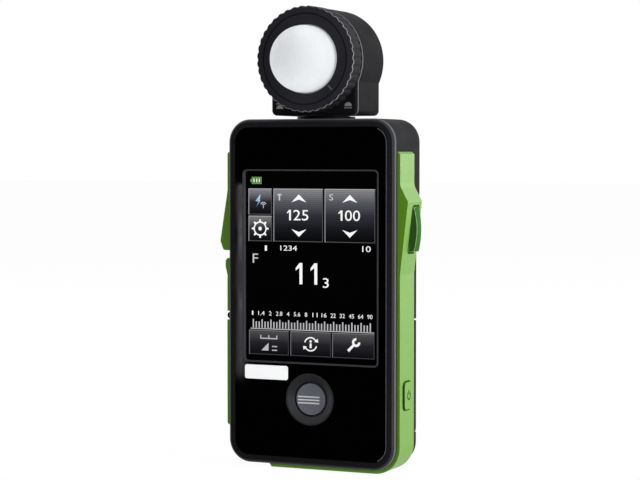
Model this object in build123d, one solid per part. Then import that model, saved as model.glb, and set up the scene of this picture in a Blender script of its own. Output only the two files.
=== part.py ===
from build123d import *
import os
from math import cos, sin, radians

# Hand-held light meter. X is to the right, the front faces -Y, Z is up.
# Depths are counted back from the plane where the frame's bevel meets the sides.
# Heights are counted up from the underside of the green bottom trim.

overrun = 1.0
fit = 0.1
run = 0.3

# outer case
case_w = 55.2
case_h = 105.2
case_corner_r = 7.0
side_wall = 2.2
back_wall = 1.6
bevel_w = 2.2
bevel_rise = 1.0
bevel_step_in = 0.9
bevel_step_rise = 0.8
edge_break = 0.35
frame_lip = 0.25
split_margin = 0.4
door_room = 0.65
hump_rise = 2.6
hump_clear = 4.0
hump_run = 17.0
back_edge_r = 2.4
floor_t = 1.6

# green trims
trim_proud = 1.1
trim_seat = 1.0
trim_front_d = 0.9
trim_t = 11.3
trim_top_drop = 9.9
trim_tip_r = 0.8
trim_bottom_in = 13.2
trim_end_slope = 0.8
wedge_proud = 2.5
wedge_start_drop = 10.2
wedge_peak_drop = 4.6
wedge_run = 21.8
wedge_knee_r = 4.0
wedge_peak_r = 0.6

# measuring button in the right trim
well_in = 4.4
well_w = 5.8
well_h = 14.0
well_drop = 1.4
well_corner_r = 1.0
measure_proud = 0.35
measure_crown = 0.8
measure_slope_drop = 2.0
measure_slope_run = 2.0
measure_travel = 1.0
measure_flange_t = 0.9
measure_flange_lap = 0.7
measure_stem_w = 3.0
measure_stem_h = 4.0
measure_tip_in = 1.0

# power button in the right trim
power_rise = 22.25
power_in = 5.9
power_w = 6.8
power_h = 8.4
power_corner_r = 1.5
power_sunk = 0.35
power_travel = 0.5
power_flange_t = 0.7
power_flange_lap = 0.6
power_switch_w = 4.6

# memory button on the left side
memory_gap = 2.4
memory_slope_share = 0.61
memory_nose_h = 2.9
memory_proud = 2.5
memory_end_r = 1.6
memory_sunk = 0.2
memory_travel = 0.7
memory_stem_w = 3.0
memory_stem_h = 8.0
memory_stem_share = 0.26
memory_flange_t = 0.6
memory_flange_lap = 0.8
memory_tip_in = 1.1

# terminal cover and lower trim on the left side
cover_rise = 7.4
cover_h = 18.7
cover_lip_proud = 0.6
cover_lip_h = 2.6
cover_pin_r = 0.5
cover_eye_r = 1.05
cover_ear_w = 1.4
left_trim_rise = 11.1

# front panel, window and label
panel_t = 1.2
panel_sunk = 0.1
panel_gap = 0.1
window_side = 5.6
window_top_drop = 15.7
window_low_rise = 31.5
window_r = 1.0
window_frame_w = 0.45
window_frame_proud = 0.12
glass_margin = 1.9
glass_t = 1.0
lcd_margin = 0.6
lcd_t = 2.4
lcd_frame_t = 0.4
lcd_frame_lap = 1.4
lcd_frame_below = 5.6
lcd_frame_above = 7.1
frame_screw_top_in = 10.6
frame_screw_top_drop = 2.1
frame_screw_low_in = 7.1
frame_screw_low_rise = 1.4
label_w = 14.5
label_h = 4.3
label_r = 0.7
label_in = 0.3
label_drop = 3.4
label_t = 0.15

# menu button
menu_rise = 20.4
menu_ring_r = 7.9
menu_ring_lip = 0.5
menu_face_r = 5.1
menu_hole_r = 5.35
menu_face_d = 0.0
menu_dish = 0.35
menu_flange_r = 6.2
menu_flange_t = 0.4
menu_tip_r = 1.6
menu_tip_t = 0.35
menu_travel = 0.6
key_board_gap = 2.1
key_board_t = 0.8
key_board_w = 24.4
key_board_h = 10.9
key_board_drop = 0.55
key_screw_x = 9.8
key_switch_r = 2.4

# main board
board_gap = 0.9
board_t = 1.0
board_side = 2.2
board_rise = 2.5
board_drop = 0.5
board_corner_r = 1.0
chip_t = 1.2
chip_big = 10.0
chip_small = 5.0
chip_pitch = 12.0
chip_height_share = 0.32
radio_w = 14.0
radio_h = 11.0
radio_t = 2.0
radio_x = -12.0
radio_drop = 13.2
switch_l = 3.3
switch_t = 3.6
switch_h = 6.8
plunger_r = 1.0
usb_w = 7.6
usb_t = 2.9
usb_l = 5.8
usb_share = 0.32
usb_wall = 0.35
sync_share = 0.77
sync_r = 2.9
sync_bore_r = 1.9
sync_l = 5.4
sync_bore_l = 3.2
sync_pin_r = 0.5
socket_w = 5.0
socket_h = 2.6
socket_t = 2.4
socket_drop = 8.0

# small screws
small_screw_r = 0.7
small_head_r = 1.4
small_head_t = 0.7
small_boss_r = 2.0

# batteries and their bay
cell_r = 5.25
contact_room = 1.05
nub_r = 1.9
nub_l = 1.0
tray_sill = 1.2
cell_wall = 0.6
tray_skin = 0.3
cell_gap = 0.15
tray_side = 1.2
tray_wall = 1.0
tray_rise = 11.9
tray_wall_rise = 3.3
tray_foot_r = 2.0
tray_foot_gap = 2.8
tray_foot_rise = 2.4
tray_rest_w = 5.0
tray_rest_drop = 3.1
contact_t = 0.3
contact_w = 7.0
contact_bump_r = 1.6

# battery door and its hinge
door_over = 7.5
door_top_gap = 0.65
door_pin_rise = 10.3
door_t = 1.6
door_flange_t = 1.4
door_flange_in = 0.6
door_pin_r = 0.7
door_eye_r = 1.4
door_ear_in = 6.2
door_ear_w = 2.6
door_pin_past = 1.1
door_gap = 0.3
door_grip_w = 16.0
door_grip_h = 0.9
door_grip_pitch = 2.0
door_grip_depth = 0.35
door_grip_drop = 3.4
door_grip_count = 4
rail_t = 1.4
rail_reach = 3.0
rail_lap = 1.4

# tripod socket
tripod_r = 3.175
tripod_bush_r = 4.9
tripod_boss_r = 6.5
tripod_clear = 2.85
tripod_l = 6.2
tripod_floor = 0.6
tripod_sunk = 0.2

# case screws
case_screw_in = 6.4
case_screw_drop = 5.9
case_screw_rise = 4.7
case_boss_r = 2.3
case_screw_r = 0.95
case_head_r = 1.8
case_head_t = 1.2
case_screw_l = 7.0
case_screw_grip = 2.6

# swivel between case and head
swivel_offset = 0.75
neck_lap = 1.8
neck_h = 0.8
neck_lip_r = 7.2
neck_lip_h = 0.4
collar_tube_r = 7.1
collar_lap = 0.9
collar_flange_t = 1.2
shaft_r = 4.6
shaft_wall = 1.4
shaft_reach = 5.5
shaft_flange_lap = 1.4
shaft_flange_t = 1.0
washer_t = 0.4
washer_in = 0.6
retainer_t = 1.2
retainer_in = 0.4
shaft_play = 0.08

# head housing
head_gap = 1.1
head_foot_rise = 0.9
head_r = 15.8
head_front_in = 9.4
head_split_in = 6.2
head_cover_t = 2.3
block_in = 1.5
block_step = 0.1
block_corner_r = 1.6
head_edge_r = 1.1
head_back_edge_r = 1.2
head_wall = 2.0
head_floor_t = 1.6
head_side_wall = 1.9
block_bore_gap = 1.5
head_screw_in = 3.1
head_screw_rise = 3.6
head_screw_l = 5.0
lug_w = 3.0
lug_t = 1.2
lug_reach = 1.4

# rotating ring
ring_over = 0.1
ring_h = 6.4
ring_gap = 0.4
dome_gap = 0.15
ring_lip_t = 1.6
ring_groove_in = 2.5
ring_groove_w = 0.35
ring_groove_t = 0.3
ring_slope = 0.45
scallop_count = 40
scallop_r = 1.15
scallop_depth = 0.3
cam_in = 0.9
cam_wall = 1.35
ring_play = 0.08
cam_gap = 1.5
cam_angle = 84.0
circlip_over = 0.6
circlip_t = 0.6
circlip_gap = 0.15
circlip_depth = 0.4

# dome, its carrier and its guide
dome_inset = 0.35
dome_wall = 1.4
dome_lift = 0.69
dome_skirt = 2.0
carrier_room = 1.3
sleeve_room = 1.25
carrier_wall = 2.05
carrier_past = 1.8
spigot_t = 0.8
guide_gap = 0.5
pin_r = 0.8
pin_in = 0.6
pin_seat = 1.0
pin_clear = 0.2
pin_count = 3
pin_play = 0.15

# sensor
base_in = 3.3
base_t = 1.2
base_gap = 0.8
sensor_boss_gap = 0.95
sensor_boss_h = 4.3
sensor_boss_wall = 2.1
sensor_pocket_t = 1.6
filter_t = 0.8
sensor_gap = 1.1
sensor_board_in = 4.1
sensor_board_t = 0.8
lead_r = 0.6
lead_notch_w = 2.4
lead_notch_h = 4.8
lead_drop = 1.33
lead_joint_rise = 0.1
lead_reach = 6.75
lead_bend_r = 1.0
case_lead_drop = 3.05
case_lead_run = 3.9

# worked out from the sizes above: widths
half_w = case_w / 2
inner_x = half_w - side_wall
seat_x = half_w - trim_seat
trim_x = half_w + trim_proud
trim_bottom_x = trim_bottom_in - half_w
wedge_peak_x = trim_x + wedge_proud
measure_peak_x = wedge_peak_x + measure_proud
measure_end_x = measure_peak_x - measure_crown
measure_slope_x = measure_peak_x - measure_slope_drop
measure_tip_x = inner_x - measure_tip_in
memory_peak_x = trim_x + memory_proud
memory_inner_x = half_w - memory_sunk
memory_pocket_x = memory_inner_x - memory_travel - run
memory_tip_x = inner_x - memory_tip_in
cover_lip_x = trim_x + cover_lip_proud
window_w = case_w - 2 * window_side
lcd_frame_w = window_w + 2 * lcd_frame_lap
frame_screw_top_x = half_w - frame_screw_top_in
frame_screw_low_x = half_w - frame_screw_low_in
label_x = (label_w - window_w) / 2 + label_in
board_edge_x = inner_x - board_side
board_w = 2 * board_edge_x
usb_face_x = seat_x - run
tray_half_l = inner_x - tray_side
tray_foot_x = key_board_w / 2 + tray_foot_r + tray_foot_gap
cell_l = 2 * (tray_half_l - tray_wall - contact_room) - nub_l
door_ear_x = half_w - door_ear_in
door_pin_l = 2 * (door_ear_x + door_pin_past)
rail_x = half_w - door_flange_t - door_gap
case_screw_x = half_w - case_screw_in

# worked out: depths of the case
panel_front_d = -bevel_rise + panel_sunk
panel_seat_d = panel_front_d + panel_t
floor_back_d = panel_seat_d + floor_t
glass_back_d = panel_seat_d + glass_t
lcd_back_d = glass_back_d + lcd_t
lcd_frame_back_d = lcd_back_d + lcd_frame_t
board_front_d = lcd_frame_back_d + board_gap
board_back_d = board_front_d + board_t
key_board_d = floor_back_d + key_board_gap
tray_front_d = key_board_d + key_board_t + small_head_t + fit
cell_d = tray_front_d + tray_skin + cell_gap + cell_r
tray_back_d = cell_d + tray_wall_rise
low_back_d = cell_d + cell_r + door_room + door_t
hump_back_d = low_back_d + hump_rise
trim_back_d = trim_front_d + trim_t
split_d = trim_back_d + split_margin
well_front_d = trim_front_d + well_in
well_back_d = well_front_d + well_w
measure_slope_d = well_front_d + measure_slope_run
power_d = trim_front_d + power_in
door_flange_d = split_d + door_flange_in
door_back_d = low_back_d
door_pin_d = door_back_d - door_eye_r
door_inner_d = door_back_d - door_t
tripod_front_d = low_back_d - tripod_l
case_head_floor_d = split_d + case_screw_grip
case_lead_d = board_back_d + socket_t / 2

# worked out: heights of the case
case_low_z = trim_proud
case_mid_z = case_low_z + case_h / 2
case_top_z = case_low_z + case_h
tray_low_z = case_low_z + tray_rise
cell_low_z = tray_low_z + tray_sill + cell_gap + cell_r
cell_pitch = 2 * (cell_r + cell_gap) + cell_wall
tray_high_z = cell_low_z + cell_pitch + cell_r + cell_gap + tray_sill
tray_foot_z = tray_low_z + tray_foot_rise
tray_rest_z = tray_high_z - tray_rest_drop
door_pin_z = case_low_z + door_pin_rise
door_low_z = door_pin_z - door_eye_r
door_high_z = tray_high_z + door_over
tripod_z = door_high_z + door_top_gap + rail_lap + tripod_boss_r + tripod_clear
hump_foot_z = tripod_z + tripod_boss_r + hump_clear
hump_top_z = hump_foot_z + hump_run
trim_top_z = case_top_z - trim_top_drop
wedge_start_z = trim_top_z - wedge_start_drop
wedge_peak_z = wedge_start_z - wedge_peak_drop
wedge_end_z = wedge_peak_z - wedge_run
well_high_z = wedge_peak_z - well_drop
well_low_z = well_high_z - well_h
power_z = case_low_z + power_rise
cover_low_z = tray_high_z + cover_rise
cover_high_z = cover_low_z + cover_h
left_trim_low_z = case_low_z + left_trim_rise
left_trim_high_z = cover_low_z - run
memory_low_z = cover_high_z + memory_gap
memory_h = trim_top_z - memory_low_z
memory_peak_z = memory_low_z + memory_nose_h
memory_slope_z = memory_low_z + memory_slope_share * memory_h
memory_stem_z = memory_low_z + memory_stem_share * memory_h
window_low_z = case_low_z + window_low_rise
window_high_z = case_top_z - window_top_drop
window_h = window_high_z - window_low_z
window_z = (window_high_z + window_low_z) / 2
lcd_frame_low_z = window_low_z - lcd_frame_below
lcd_frame_high_z = window_high_z + lcd_frame_above
frame_screw_low_z = lcd_frame_low_z + frame_screw_low_rise
frame_screw_top_z = lcd_frame_high_z - frame_screw_top_drop
label_z = window_low_z - label_drop
menu_z = case_low_z + menu_rise
key_board_z = menu_z - key_board_drop
board_low_z = cover_low_z + board_rise
board_high_z = lcd_frame_high_z - board_drop
chip_z = board_low_z + chip_height_share * (board_high_z - board_low_z)
radio_z = board_high_z - radio_drop
usb_z = cover_low_z + usb_share * cover_h
sync_z = cover_low_z + sync_share * cover_h
socket_z = board_high_z - socket_drop
case_screw_low_z = case_low_z + case_screw_rise
case_screw_top_z = case_top_z - case_screw_drop

# worked out: the swivel and the head
swivel_d = (floor_back_d + hump_back_d - back_wall) / 2 + swivel_offset
neck_r = collar_tube_r + neck_lap
collar_flange_r = collar_tube_r + collar_lap
collar_low_z = case_top_z - side_wall - collar_flange_t
shaft_bore_r = shaft_r - shaft_wall
shaft_flange_r = shaft_r + shaft_flange_lap
shaft_low_z = case_top_z - shaft_reach
washer_r = collar_flange_r - washer_in
retainer_r = collar_flange_r - retainer_in
head_low_z = case_top_z + head_gap
neck_lip_z = head_low_z + neck_lip_h
head_z = head_low_z + head_r + head_foot_rise
flange_top_z = head_low_z + head_floor_t + shaft_flange_t
head_front_d = swivel_d - head_front_in
head_split_d = swivel_d + head_split_in
head_back_d = head_split_d + head_cover_t
block_half_w = head_r - block_in
block_back_d = head_back_d - block_step
block_bore_half_w = shaft_flange_r + block_bore_gap
head_bore_r = head_r - head_side_wall
head_screw_x = block_half_w - head_screw_in
head_screw_z = head_low_z + head_screw_rise
base_front_d = head_split_d - base_in
base_r = head_bore_r - base_gap
lug_back_d = base_front_d
ring_back_d = head_front_d - ring_gap
ring_front_d = ring_back_d - ring_h
ring_r = head_r + ring_over
ring_groove_r = ring_r - ring_groove_in
cam_r = head_bore_r - cam_in
cam_bore_r = cam_r - cam_wall
cam_end_d = base_front_d - cam_gap
circlip_r = cam_r + circlip_over
circlip_d = head_front_d + head_wall + circlip_gap
carrier_r = cam_bore_r - sleeve_room
carrier_bore_r = carrier_r - carrier_wall
ring_bore_r = carrier_r + dome_gap
guide_bore_r = carrier_r + ring_play
guide_r = cam_bore_r - ring_play
guide_front_d = ring_front_d + ring_lip_t + guide_gap
dome_r = carrier_r - dome_inset
dome_base_d = ring_front_d - dome_lift
dome_apex_d = dome_base_d - dome_r
pin_d = ring_back_d + pin_in
pin_root_r = carrier_r - pin_seat
pin_tip_r = cam_r - circlip_depth - pin_clear
carrier_end_d = pin_d + carrier_past
dome_travel = base_front_d - carrier_end_d - carrier_room
sensor_boss_r = carrier_bore_r - sensor_boss_gap
sensor_boss_d = base_front_d - sensor_boss_h
sensor_pocket_r = sensor_boss_r - sensor_boss_wall
sensor_r = sensor_pocket_r - sensor_gap
sensor_board_r = base_r - sensor_board_in
lead_top_z = head_z - sensor_board_r - lead_drop
lead_joint_z = case_top_z + lead_joint_rise
lead_end_z = case_top_z - lead_reach
case_lead_top_z = lead_end_z - case_lead_drop
case_lead_low_z = case_lead_top_z - case_lead_run
front_y = -(dome_apex_d + hump_back_d) / 2


def y_at(depth):
    return front_y + depth


def slab(sketch, near, far):
    plane = Plane(origin=(0, y_at(far), 0), x_dir=(1, 0, 0), z_dir=(0, -1, 0))
    return extrude(plane * sketch, amount=far - near)


def side_slab(sketch, x_low, x_high):
    plane = Plane(origin=(x_low, 0, 0), x_dir=(0, 1, 0), z_dir=(1, 0, 0))
    return extrude(plane * sketch, amount=x_high - x_low)


def flat_face(sketch, depth):
    plane = Plane(origin=(0, y_at(depth), 0), x_dir=(1, 0, 0), z_dir=(0, -1, 0))
    return (plane * sketch).faces()[0]


def shape(points, radii):
    return make_face(FilletPolyline(*points, radius=radii, close=True))


def block(x_low, x_high, near, far, z_low, z_high):
    low = (x_low, y_at(near), z_low)
    size = (x_high - x_low, far - near, z_high - z_low)
    return Pos(*low) * Box(*size, align=(Align.MIN, Align.MIN, Align.MIN))


def disc(r, near, far, x=0, z=0):
    return slab(Pos(x, z) * Circle(r), near, far)


def tube(r, bore_r, near, far, x=0, z=0):
    return slab(Pos(x, z) * (Circle(r) - Circle(bore_r)), near, far)


def post(r, z_low, z_high, x=0, depth=0):
    base = Pos(x, y_at(depth), z_low)
    return base * Cylinder(r, z_high - z_low, align=(Align.CENTER, Align.CENTER, Align.MIN))


def rod(r, x_low, x_high, depth, z):
    plane = Plane(origin=(x_low, y_at(depth), z), x_dir=(0, 1, 0), z_dir=(1, 0, 0))
    return extrude(plane * Circle(r), amount=x_high - x_low)


def window(w, h, r, z):
    return Pos(0, z) * RectangleRounded(w, h, r)


def side_window(w, h, r, depth, z):
    return Pos(y_at(depth), z) * RectangleRounded(w, h, r)


def outline(inset=0):
    w = case_w - 2 * inset
    h = case_h - 2 * inset
    return Pos(0, case_mid_z) * RectangleRounded(w, h, case_corner_r - inset)


def side_profile(inset):
    low = low_back_d - inset
    high = hump_back_d - inset
    top = case_top_z + overrun
    foot = case_low_z - overrun
    points = [
        (y_at(split_d) - overrun, foot),
        (y_at(low), foot),
        (y_at(low), hump_foot_z),
        (y_at(high), hump_top_z),
        (y_at(high), top),
        (y_at(split_d) - overrun, top),
    ]
    bend = hump_top_z - hump_foot_z
    return shape(points, [0, 0, bend / 2, bend / 2, 0, 0])


def wedge():
    foot = half_w - trim_seat / 2
    points = [
        (foot, wedge_start_z + wedge_knee_r),
        (trim_x, wedge_start_z + wedge_knee_r),
        (trim_x, wedge_start_z),
        (wedge_peak_x, wedge_peak_z),
        (trim_x, wedge_end_z),
        (foot, wedge_end_z),
    ]
    return shape(points, [0, 0, wedge_knee_r, wedge_peak_r, 0, 0])


def right_trim_outline():
    band = outline(-trim_proud) - outline(trim_seat)
    side_h = trim_top_z + trim_proud
    side_cut = Pos(half_w, trim_top_z - side_h / 2) * Rectangle(case_w / 2, side_h)
    run_l = half_w - trim_bottom_x
    low_cut = Pos(trim_bottom_x + run_l / 2, 0) * Rectangle(run_l, case_corner_r)
    reach = band & (side_cut + low_cut)
    end = Pos(trim_bottom_x, 0) * shape(
        [(0, 0), (trim_end_slope, 0), (0, trim_proud)], [0, 0, 0]
    )
    tip = Pos(trim_x, trim_top_z) * shape(
        [(0, 0), (0, -trim_tip_r), (-trim_tip_r, 0)], [0, 0, 0]
    )
    return reach + wedge() - end - tip


def measure_pocket(grow):
    w = well_back_d - well_front_d + 2 * grow
    h = well_high_z - well_low_z + 2 * grow
    depth = (well_back_d + well_front_d) / 2
    return side_window(w, h, well_corner_r, depth, (well_low_z + well_high_z) / 2)


def power_pocket(grow):
    return side_window(power_w + 2 * grow, power_h + 2 * grow, power_corner_r, power_d, power_z)


def side_trim_right():
    trim = slab(right_trim_outline(), trim_front_d, trim_back_d)
    far = wedge_peak_x + overrun
    trim -= side_slab(measure_pocket(0), seat_x - overrun, far)
    trim -= side_slab(power_pocket(0), seat_x - overrun, far)
    return trim


def measuring_button():
    low = well_low_z + run
    high = well_high_z - run
    mid = (low + high) / 2
    arc = ThreePointArc((measure_end_x, low), (measure_peak_x, mid), (measure_end_x, high))
    foot_x = seat_x - fit
    sides = Polyline((measure_end_x, high), (foot_x, high), (foot_x, low), (measure_end_x, low))
    cap = slab(make_face([arc, sides]), well_front_d + run, well_back_d - run)
    near = y_at(well_front_d + run)
    top = (y_at(measure_slope_d), measure_peak_x)
    slope = shape([(near, measure_slope_x), top, (near, measure_peak_x)], [0, 0, 0])
    plane = Plane(origin=(0, 0, high), x_dir=(0, 1, 0), z_dir=(0, 0, -1))
    cap -= extrude(plane * slope, amount=high - low)
    flange_x = foot_x - measure_flange_t
    cap += side_slab(measure_pocket(measure_flange_lap), flange_x, foot_x)
    mid_d = (well_front_d + well_back_d) / 2
    half_stem = measure_stem_w / 2
    cap += block(
        measure_tip_x,
        flange_x,
        mid_d - half_stem,
        mid_d + half_stem,
        mid - measure_stem_h / 2,
        mid + measure_stem_h / 2,
    )
    return cap


def power_button():
    foot_x = seat_x - fit
    face_x = trim_x - power_sunk
    cap = side_slab(power_pocket(-run / 2), foot_x, face_x)
    cap += side_slab(power_pocket(power_flange_lap), foot_x - power_flange_t, foot_x)
    return cap


def memory_outline():
    points = [
        (-memory_inner_x, trim_top_z),
        (-trim_x, trim_top_z),
        (-trim_x, memory_slope_z),
        (-memory_peak_x, memory_peak_z),
        (-memory_peak_x + trim_proud, memory_low_z),
        (-memory_inner_x, memory_low_z),
    ]
    return shape(points, [0, trim_tip_r, wedge_knee_r, memory_end_r, trim_tip_r, 0])


def memory_stem_window(grow):
    mid_d = (trim_front_d + trim_back_d) / 2
    return side_window(
        memory_stem_w + 2 * grow,
        memory_stem_h + 2 * grow,
        memory_stem_w / 4,
        mid_d,
        memory_stem_z,
    )


def memory_button():
    cap = slab(memory_outline(), trim_front_d + run, trim_back_d - run)
    cap += side_slab(memory_stem_window(0), -memory_inner_x, -memory_tip_x)
    flange_x = inner_x - fit
    cap += side_slab(memory_stem_window(memory_flange_lap), -flange_x, -flange_x + memory_flange_t)
    return cap


def cover_pin_place():
    return -(seat_x + cover_eye_r), cover_low_z + cover_eye_r


def cover_outline():
    pin_x, pin_z = cover_pin_place()
    lip_z = cover_high_z - cover_lip_h
    points = [
        (-seat_x, cover_low_z + cover_eye_r),
        (-trim_x, cover_low_z + cover_eye_r),
        (-trim_x, lip_z - cover_lip_h),
        (-cover_lip_x, lip_z),
        (-cover_lip_x, cover_high_z - trim_tip_r),
        (-trim_x, cover_high_z),
        (-seat_x, cover_high_z),
    ]
    plate = shape(points, [0, 0, 0, 0, 0, 0, 0])
    return plate + Pos(pin_x, pin_z) * Circle(cover_eye_r)


def terminal_cover():
    pin_x, pin_z = cover_pin_place()
    near = trim_front_d + fit
    far = trim_back_d - fit
    cover = slab(cover_outline(), near, far)
    cover -= disc(cover_pin_r + fit / 2, near - overrun, far + overrun, pin_x, pin_z)
    ear = 2 * cover_eye_r + 2 * run
    for depth in (near, far - cover_ear_w):
        cover -= block(
            pin_x - ear / 2,
            -seat_x + overrun,
            depth - run,
            depth + cover_ear_w + run,
            pin_z - ear / 2,
            pin_z + ear / 2,
        )
    return cover


def cover_ears():
    pin_x, pin_z = cover_pin_place()
    near = trim_front_d + fit
    far = trim_back_d - fit
    ears = None
    for depth in (near, far - cover_ear_w):
        ear = disc(cover_eye_r, depth, depth + cover_ear_w, pin_x, pin_z)
        ear += block(
            pin_x,
            -seat_x,
            depth,
            depth + cover_ear_w,
            pin_z - cover_eye_r,
            pin_z + cover_eye_r,
        )
        ears = ear if ears is None else ears + ear
    hole = disc(cover_pin_r, near - overrun, far + overrun, pin_x, pin_z)
    return ears - hole


def terminal_cover_pin():
    pin_x, pin_z = cover_pin_place()
    return disc(cover_pin_r, trim_front_d + fit, trim_back_d - fit, pin_x, pin_z)


def side_trim_left():
    points = [
        (-seat_x, left_trim_low_z),
        (-seat_x, left_trim_high_z),
        (-trim_x, left_trim_high_z),
        (-trim_x, left_trim_low_z),
    ]
    return slab(shape(points, [0, 0, 0, trim_tip_r]), trim_front_d, trim_back_d)


def front_case():
    faces = [
        flat_face(outline(bevel_w), -bevel_rise),
        flat_face(outline(bevel_step_in), -bevel_step_rise),
        flat_face(outline(edge_break), 0),
        flat_face(outline(), edge_break),
    ]
    case = loft(faces, ruled=True) + slab(outline(), edge_break, split_d)
    case -= slab(outline(bevel_w + frame_lip), -bevel_rise - overrun, panel_seat_d)
    case -= slab(outline(side_wall), floor_back_d, split_d + overrun)
    glass_w = window_w + 2 * glass_margin + 2 * fit
    glass_h = window_h + 2 * glass_margin + 2 * fit
    through = (panel_seat_d - overrun, floor_back_d + overrun)
    case -= slab(window(glass_w, glass_h, window_r, window_z), *through)
    case -= disc(menu_hole_r, *through, z=menu_z)
    for x, z in front_boss_places():
        case += disc(case_boss_r, floor_back_d, split_d, x, z)
        case -= disc(case_screw_r, split_d - case_screw_l, split_d + overrun, x, z)
    for x, z in frame_screw_places():
        case += disc(small_boss_r, floor_back_d, lcd_back_d, x, z)
        case -= disc(small_screw_r, floor_back_d, lcd_back_d + overrun, x, z)
    for x, z in key_screw_places():
        case += disc(small_boss_r, floor_back_d, key_board_d, x, z)
        case -= disc(small_screw_r, floor_back_d, key_board_d + overrun, x, z)
    case -= slab(right_trim_outline(), trim_front_d, trim_back_d)
    wall = (inner_x - overrun, half_w)
    case -= side_slab(measure_pocket(measure_flange_lap + run), *wall)
    case -= side_slab(power_pocket(power_flange_lap + run), *wall)
    case -= left_side_pockets()
    case += cover_ears()
    case -= post(collar_tube_r, case_top_z - side_wall - overrun, case_top_z + overrun, 0, swivel_d)
    return case


def left_side_pockets():
    reach = memory_peak_x + overrun
    near = trim_front_d
    far = trim_back_d
    memory = block(
        -reach, -memory_pocket_x, near, far, memory_low_z - run, trim_top_z + run
    )
    memory += side_slab(memory_stem_window(run), -half_w, -inner_x + overrun)
    cover = block(-reach, -seat_x, near, far, cover_low_z - run, cover_high_z + run)
    trim = block(-reach, -seat_x, near, far, left_trim_low_z, left_trim_high_z)
    usb = block(
        -half_w,
        -inner_x + overrun,
        board_back_d - fit,
        board_back_d + usb_t + fit,
        usb_z - usb_w / 2 - fit,
        usb_z + usb_w / 2 + fit,
    )
    sync = rod(sync_r + fit, -half_w, -inner_x + overrun, board_back_d + sync_r, sync_z)
    return memory + cover + trim + usb + sync


def front_boss_places():
    heights = (case_screw_low_z, case_screw_top_z)
    return [(side * case_screw_x, z) for side in (-1, 1) for z in heights]


def frame_screw_places():
    top = [(side * frame_screw_top_x, frame_screw_top_z) for side in (-1, 1)]
    low = [(side * frame_screw_low_x, frame_screw_low_z) for side in (-1, 1)]
    return top + low


def key_screw_places():
    return [(side * key_screw_x, menu_z) for side in (-1, 1)]


def back_rim(body, past_d):
    rim = body.edges().filter_by(lambda e: e.center().Y > y_at(past_d))
    low = case_low_z + case_corner_r
    high = case_top_z - case_corner_r
    across = rim.filter_by(Axis.X).filter_by(lambda e: low < e.center().Z < high)
    return [edge for edge in rim if edge not in across]


def rear_case():
    case = slab(outline(), split_d, hump_back_d)
    case &= side_slab(side_profile(0), -case_w, case_w)
    case = fillet(back_rim(case, split_d + side_wall), back_edge_r)
    cavity = slab(outline(side_wall), split_d - overrun, hump_back_d)
    cavity &= side_slab(side_profile(back_wall), -case_w, case_w)
    case -= cavity
    bay_low = door_low_z - door_gap
    bay_high = door_high_z + door_top_gap
    past = low_back_d + overrun
    cheek_z = door_pin_z - door_gap
    cheek_x = half_w - back_edge_r + door_gap
    case -= block(-case_w, case_w, split_d - overrun, past, cheek_z, bay_high)
    case -= block(-cheek_x, cheek_x, split_d - overrun, past, bay_low, cheek_z)
    case -= block(-case_w, case_w, door_pin_d - door_gap, past, bay_low, cheek_z)
    for side in (-1, 1):
        x_far = side * rail_x
        x_near = side * (rail_x - rail_t)
        case += block(
            min(x_far, x_near),
            max(x_far, x_near),
            split_d,
            split_d + rail_reach,
            bay_low - rail_lap,
            bay_high + rail_lap,
        )
        case += door_ear(side)
    shelf = block(-inner_x, inner_x, split_d, door_inner_d, bay_high, bay_high + rail_lap)
    sill = block(-inner_x, inner_x, split_d, door_inner_d, bay_low - rail_lap, bay_low)
    case += shelf + sill
    for x, z in front_boss_places():
        back = hump_back_d if z > case_mid_z else low_back_d
        case += disc(case_boss_r, split_d, back - back_wall / 2, x, z)
        case -= disc(case_screw_r + fit, split_d - overrun, back, x, z)
        case -= disc(case_head_r + fit, case_head_floor_d, back + overrun, x, z)
    case += disc(tripod_boss_r, tripod_front_d, low_back_d - back_wall / 2, z=tripod_z)
    case -= disc(tripod_bush_r, tripod_front_d, low_back_d + overrun, z=tripod_z)
    case -= rod(door_pin_r, -door_pin_l / 2, door_pin_l / 2, door_pin_d, door_pin_z)
    case -= post(collar_tube_r, case_top_z - side_wall - overrun, case_top_z + overrun, 0, swivel_d)
    return case


def door_ear(side):
    mid = side * door_ear_x
    low = mid - door_ear_w / 2
    high = mid + door_ear_w / 2
    ear = rod(door_eye_r, low, high, door_pin_d, door_pin_z)
    ear += block(
        low,
        high,
        door_pin_d - door_eye_r,
        door_pin_d + door_eye_r,
        door_low_z - door_gap - rail_lap,
        door_pin_z,
    )
    return ear


def battery_door():
    back_limit = low_back_d
    door = slab(outline(), door_flange_d, back_limit)
    door &= block(-case_w, case_w, door_flange_d, back_limit, door_pin_z, door_high_z)
    rear = door.edges().filter_by(Axis.Z).filter_by(
        lambda e: e.center().Y > y_at(low_back_d - door_t / 2)
    )
    door = fillet(rear, back_edge_r)
    inner = half_w - door_flange_t
    door -= block(
        -inner, inner, door_flange_d - overrun, door_inner_d, door_pin_z - overrun, door_high_z + overrun
    )
    edge = half_w - back_edge_r
    door += rod(door_eye_r, -edge, edge, door_pin_d, door_pin_z)
    ear = door_ear_w + 2 * door_gap
    clear = door_eye_r + door_gap
    for side in (-1, 1):
        mid = side * door_ear_x
        door -= block(
            mid - ear / 2,
            mid + ear / 2,
            door_pin_d - clear - overrun,
            door_back_d + overrun,
            door_pin_z - clear - overrun,
            door_pin_z + clear,
        )
    door -= rod(door_pin_r + fit / 2, -case_w, case_w, door_pin_d, door_pin_z)
    for step in range(door_grip_count):
        z = door_high_z - door_grip_drop - step * door_grip_pitch
        groove = Pos(0, z) * RectangleRounded(door_grip_w, door_grip_h, door_grip_h / 4)
        door -= slab(groove, door_back_d - door_grip_depth, door_back_d + overrun)
    return door


def battery_door_pin():
    return rod(door_pin_r, -door_pin_l / 2, door_pin_l / 2, door_pin_d, door_pin_z)


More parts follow.
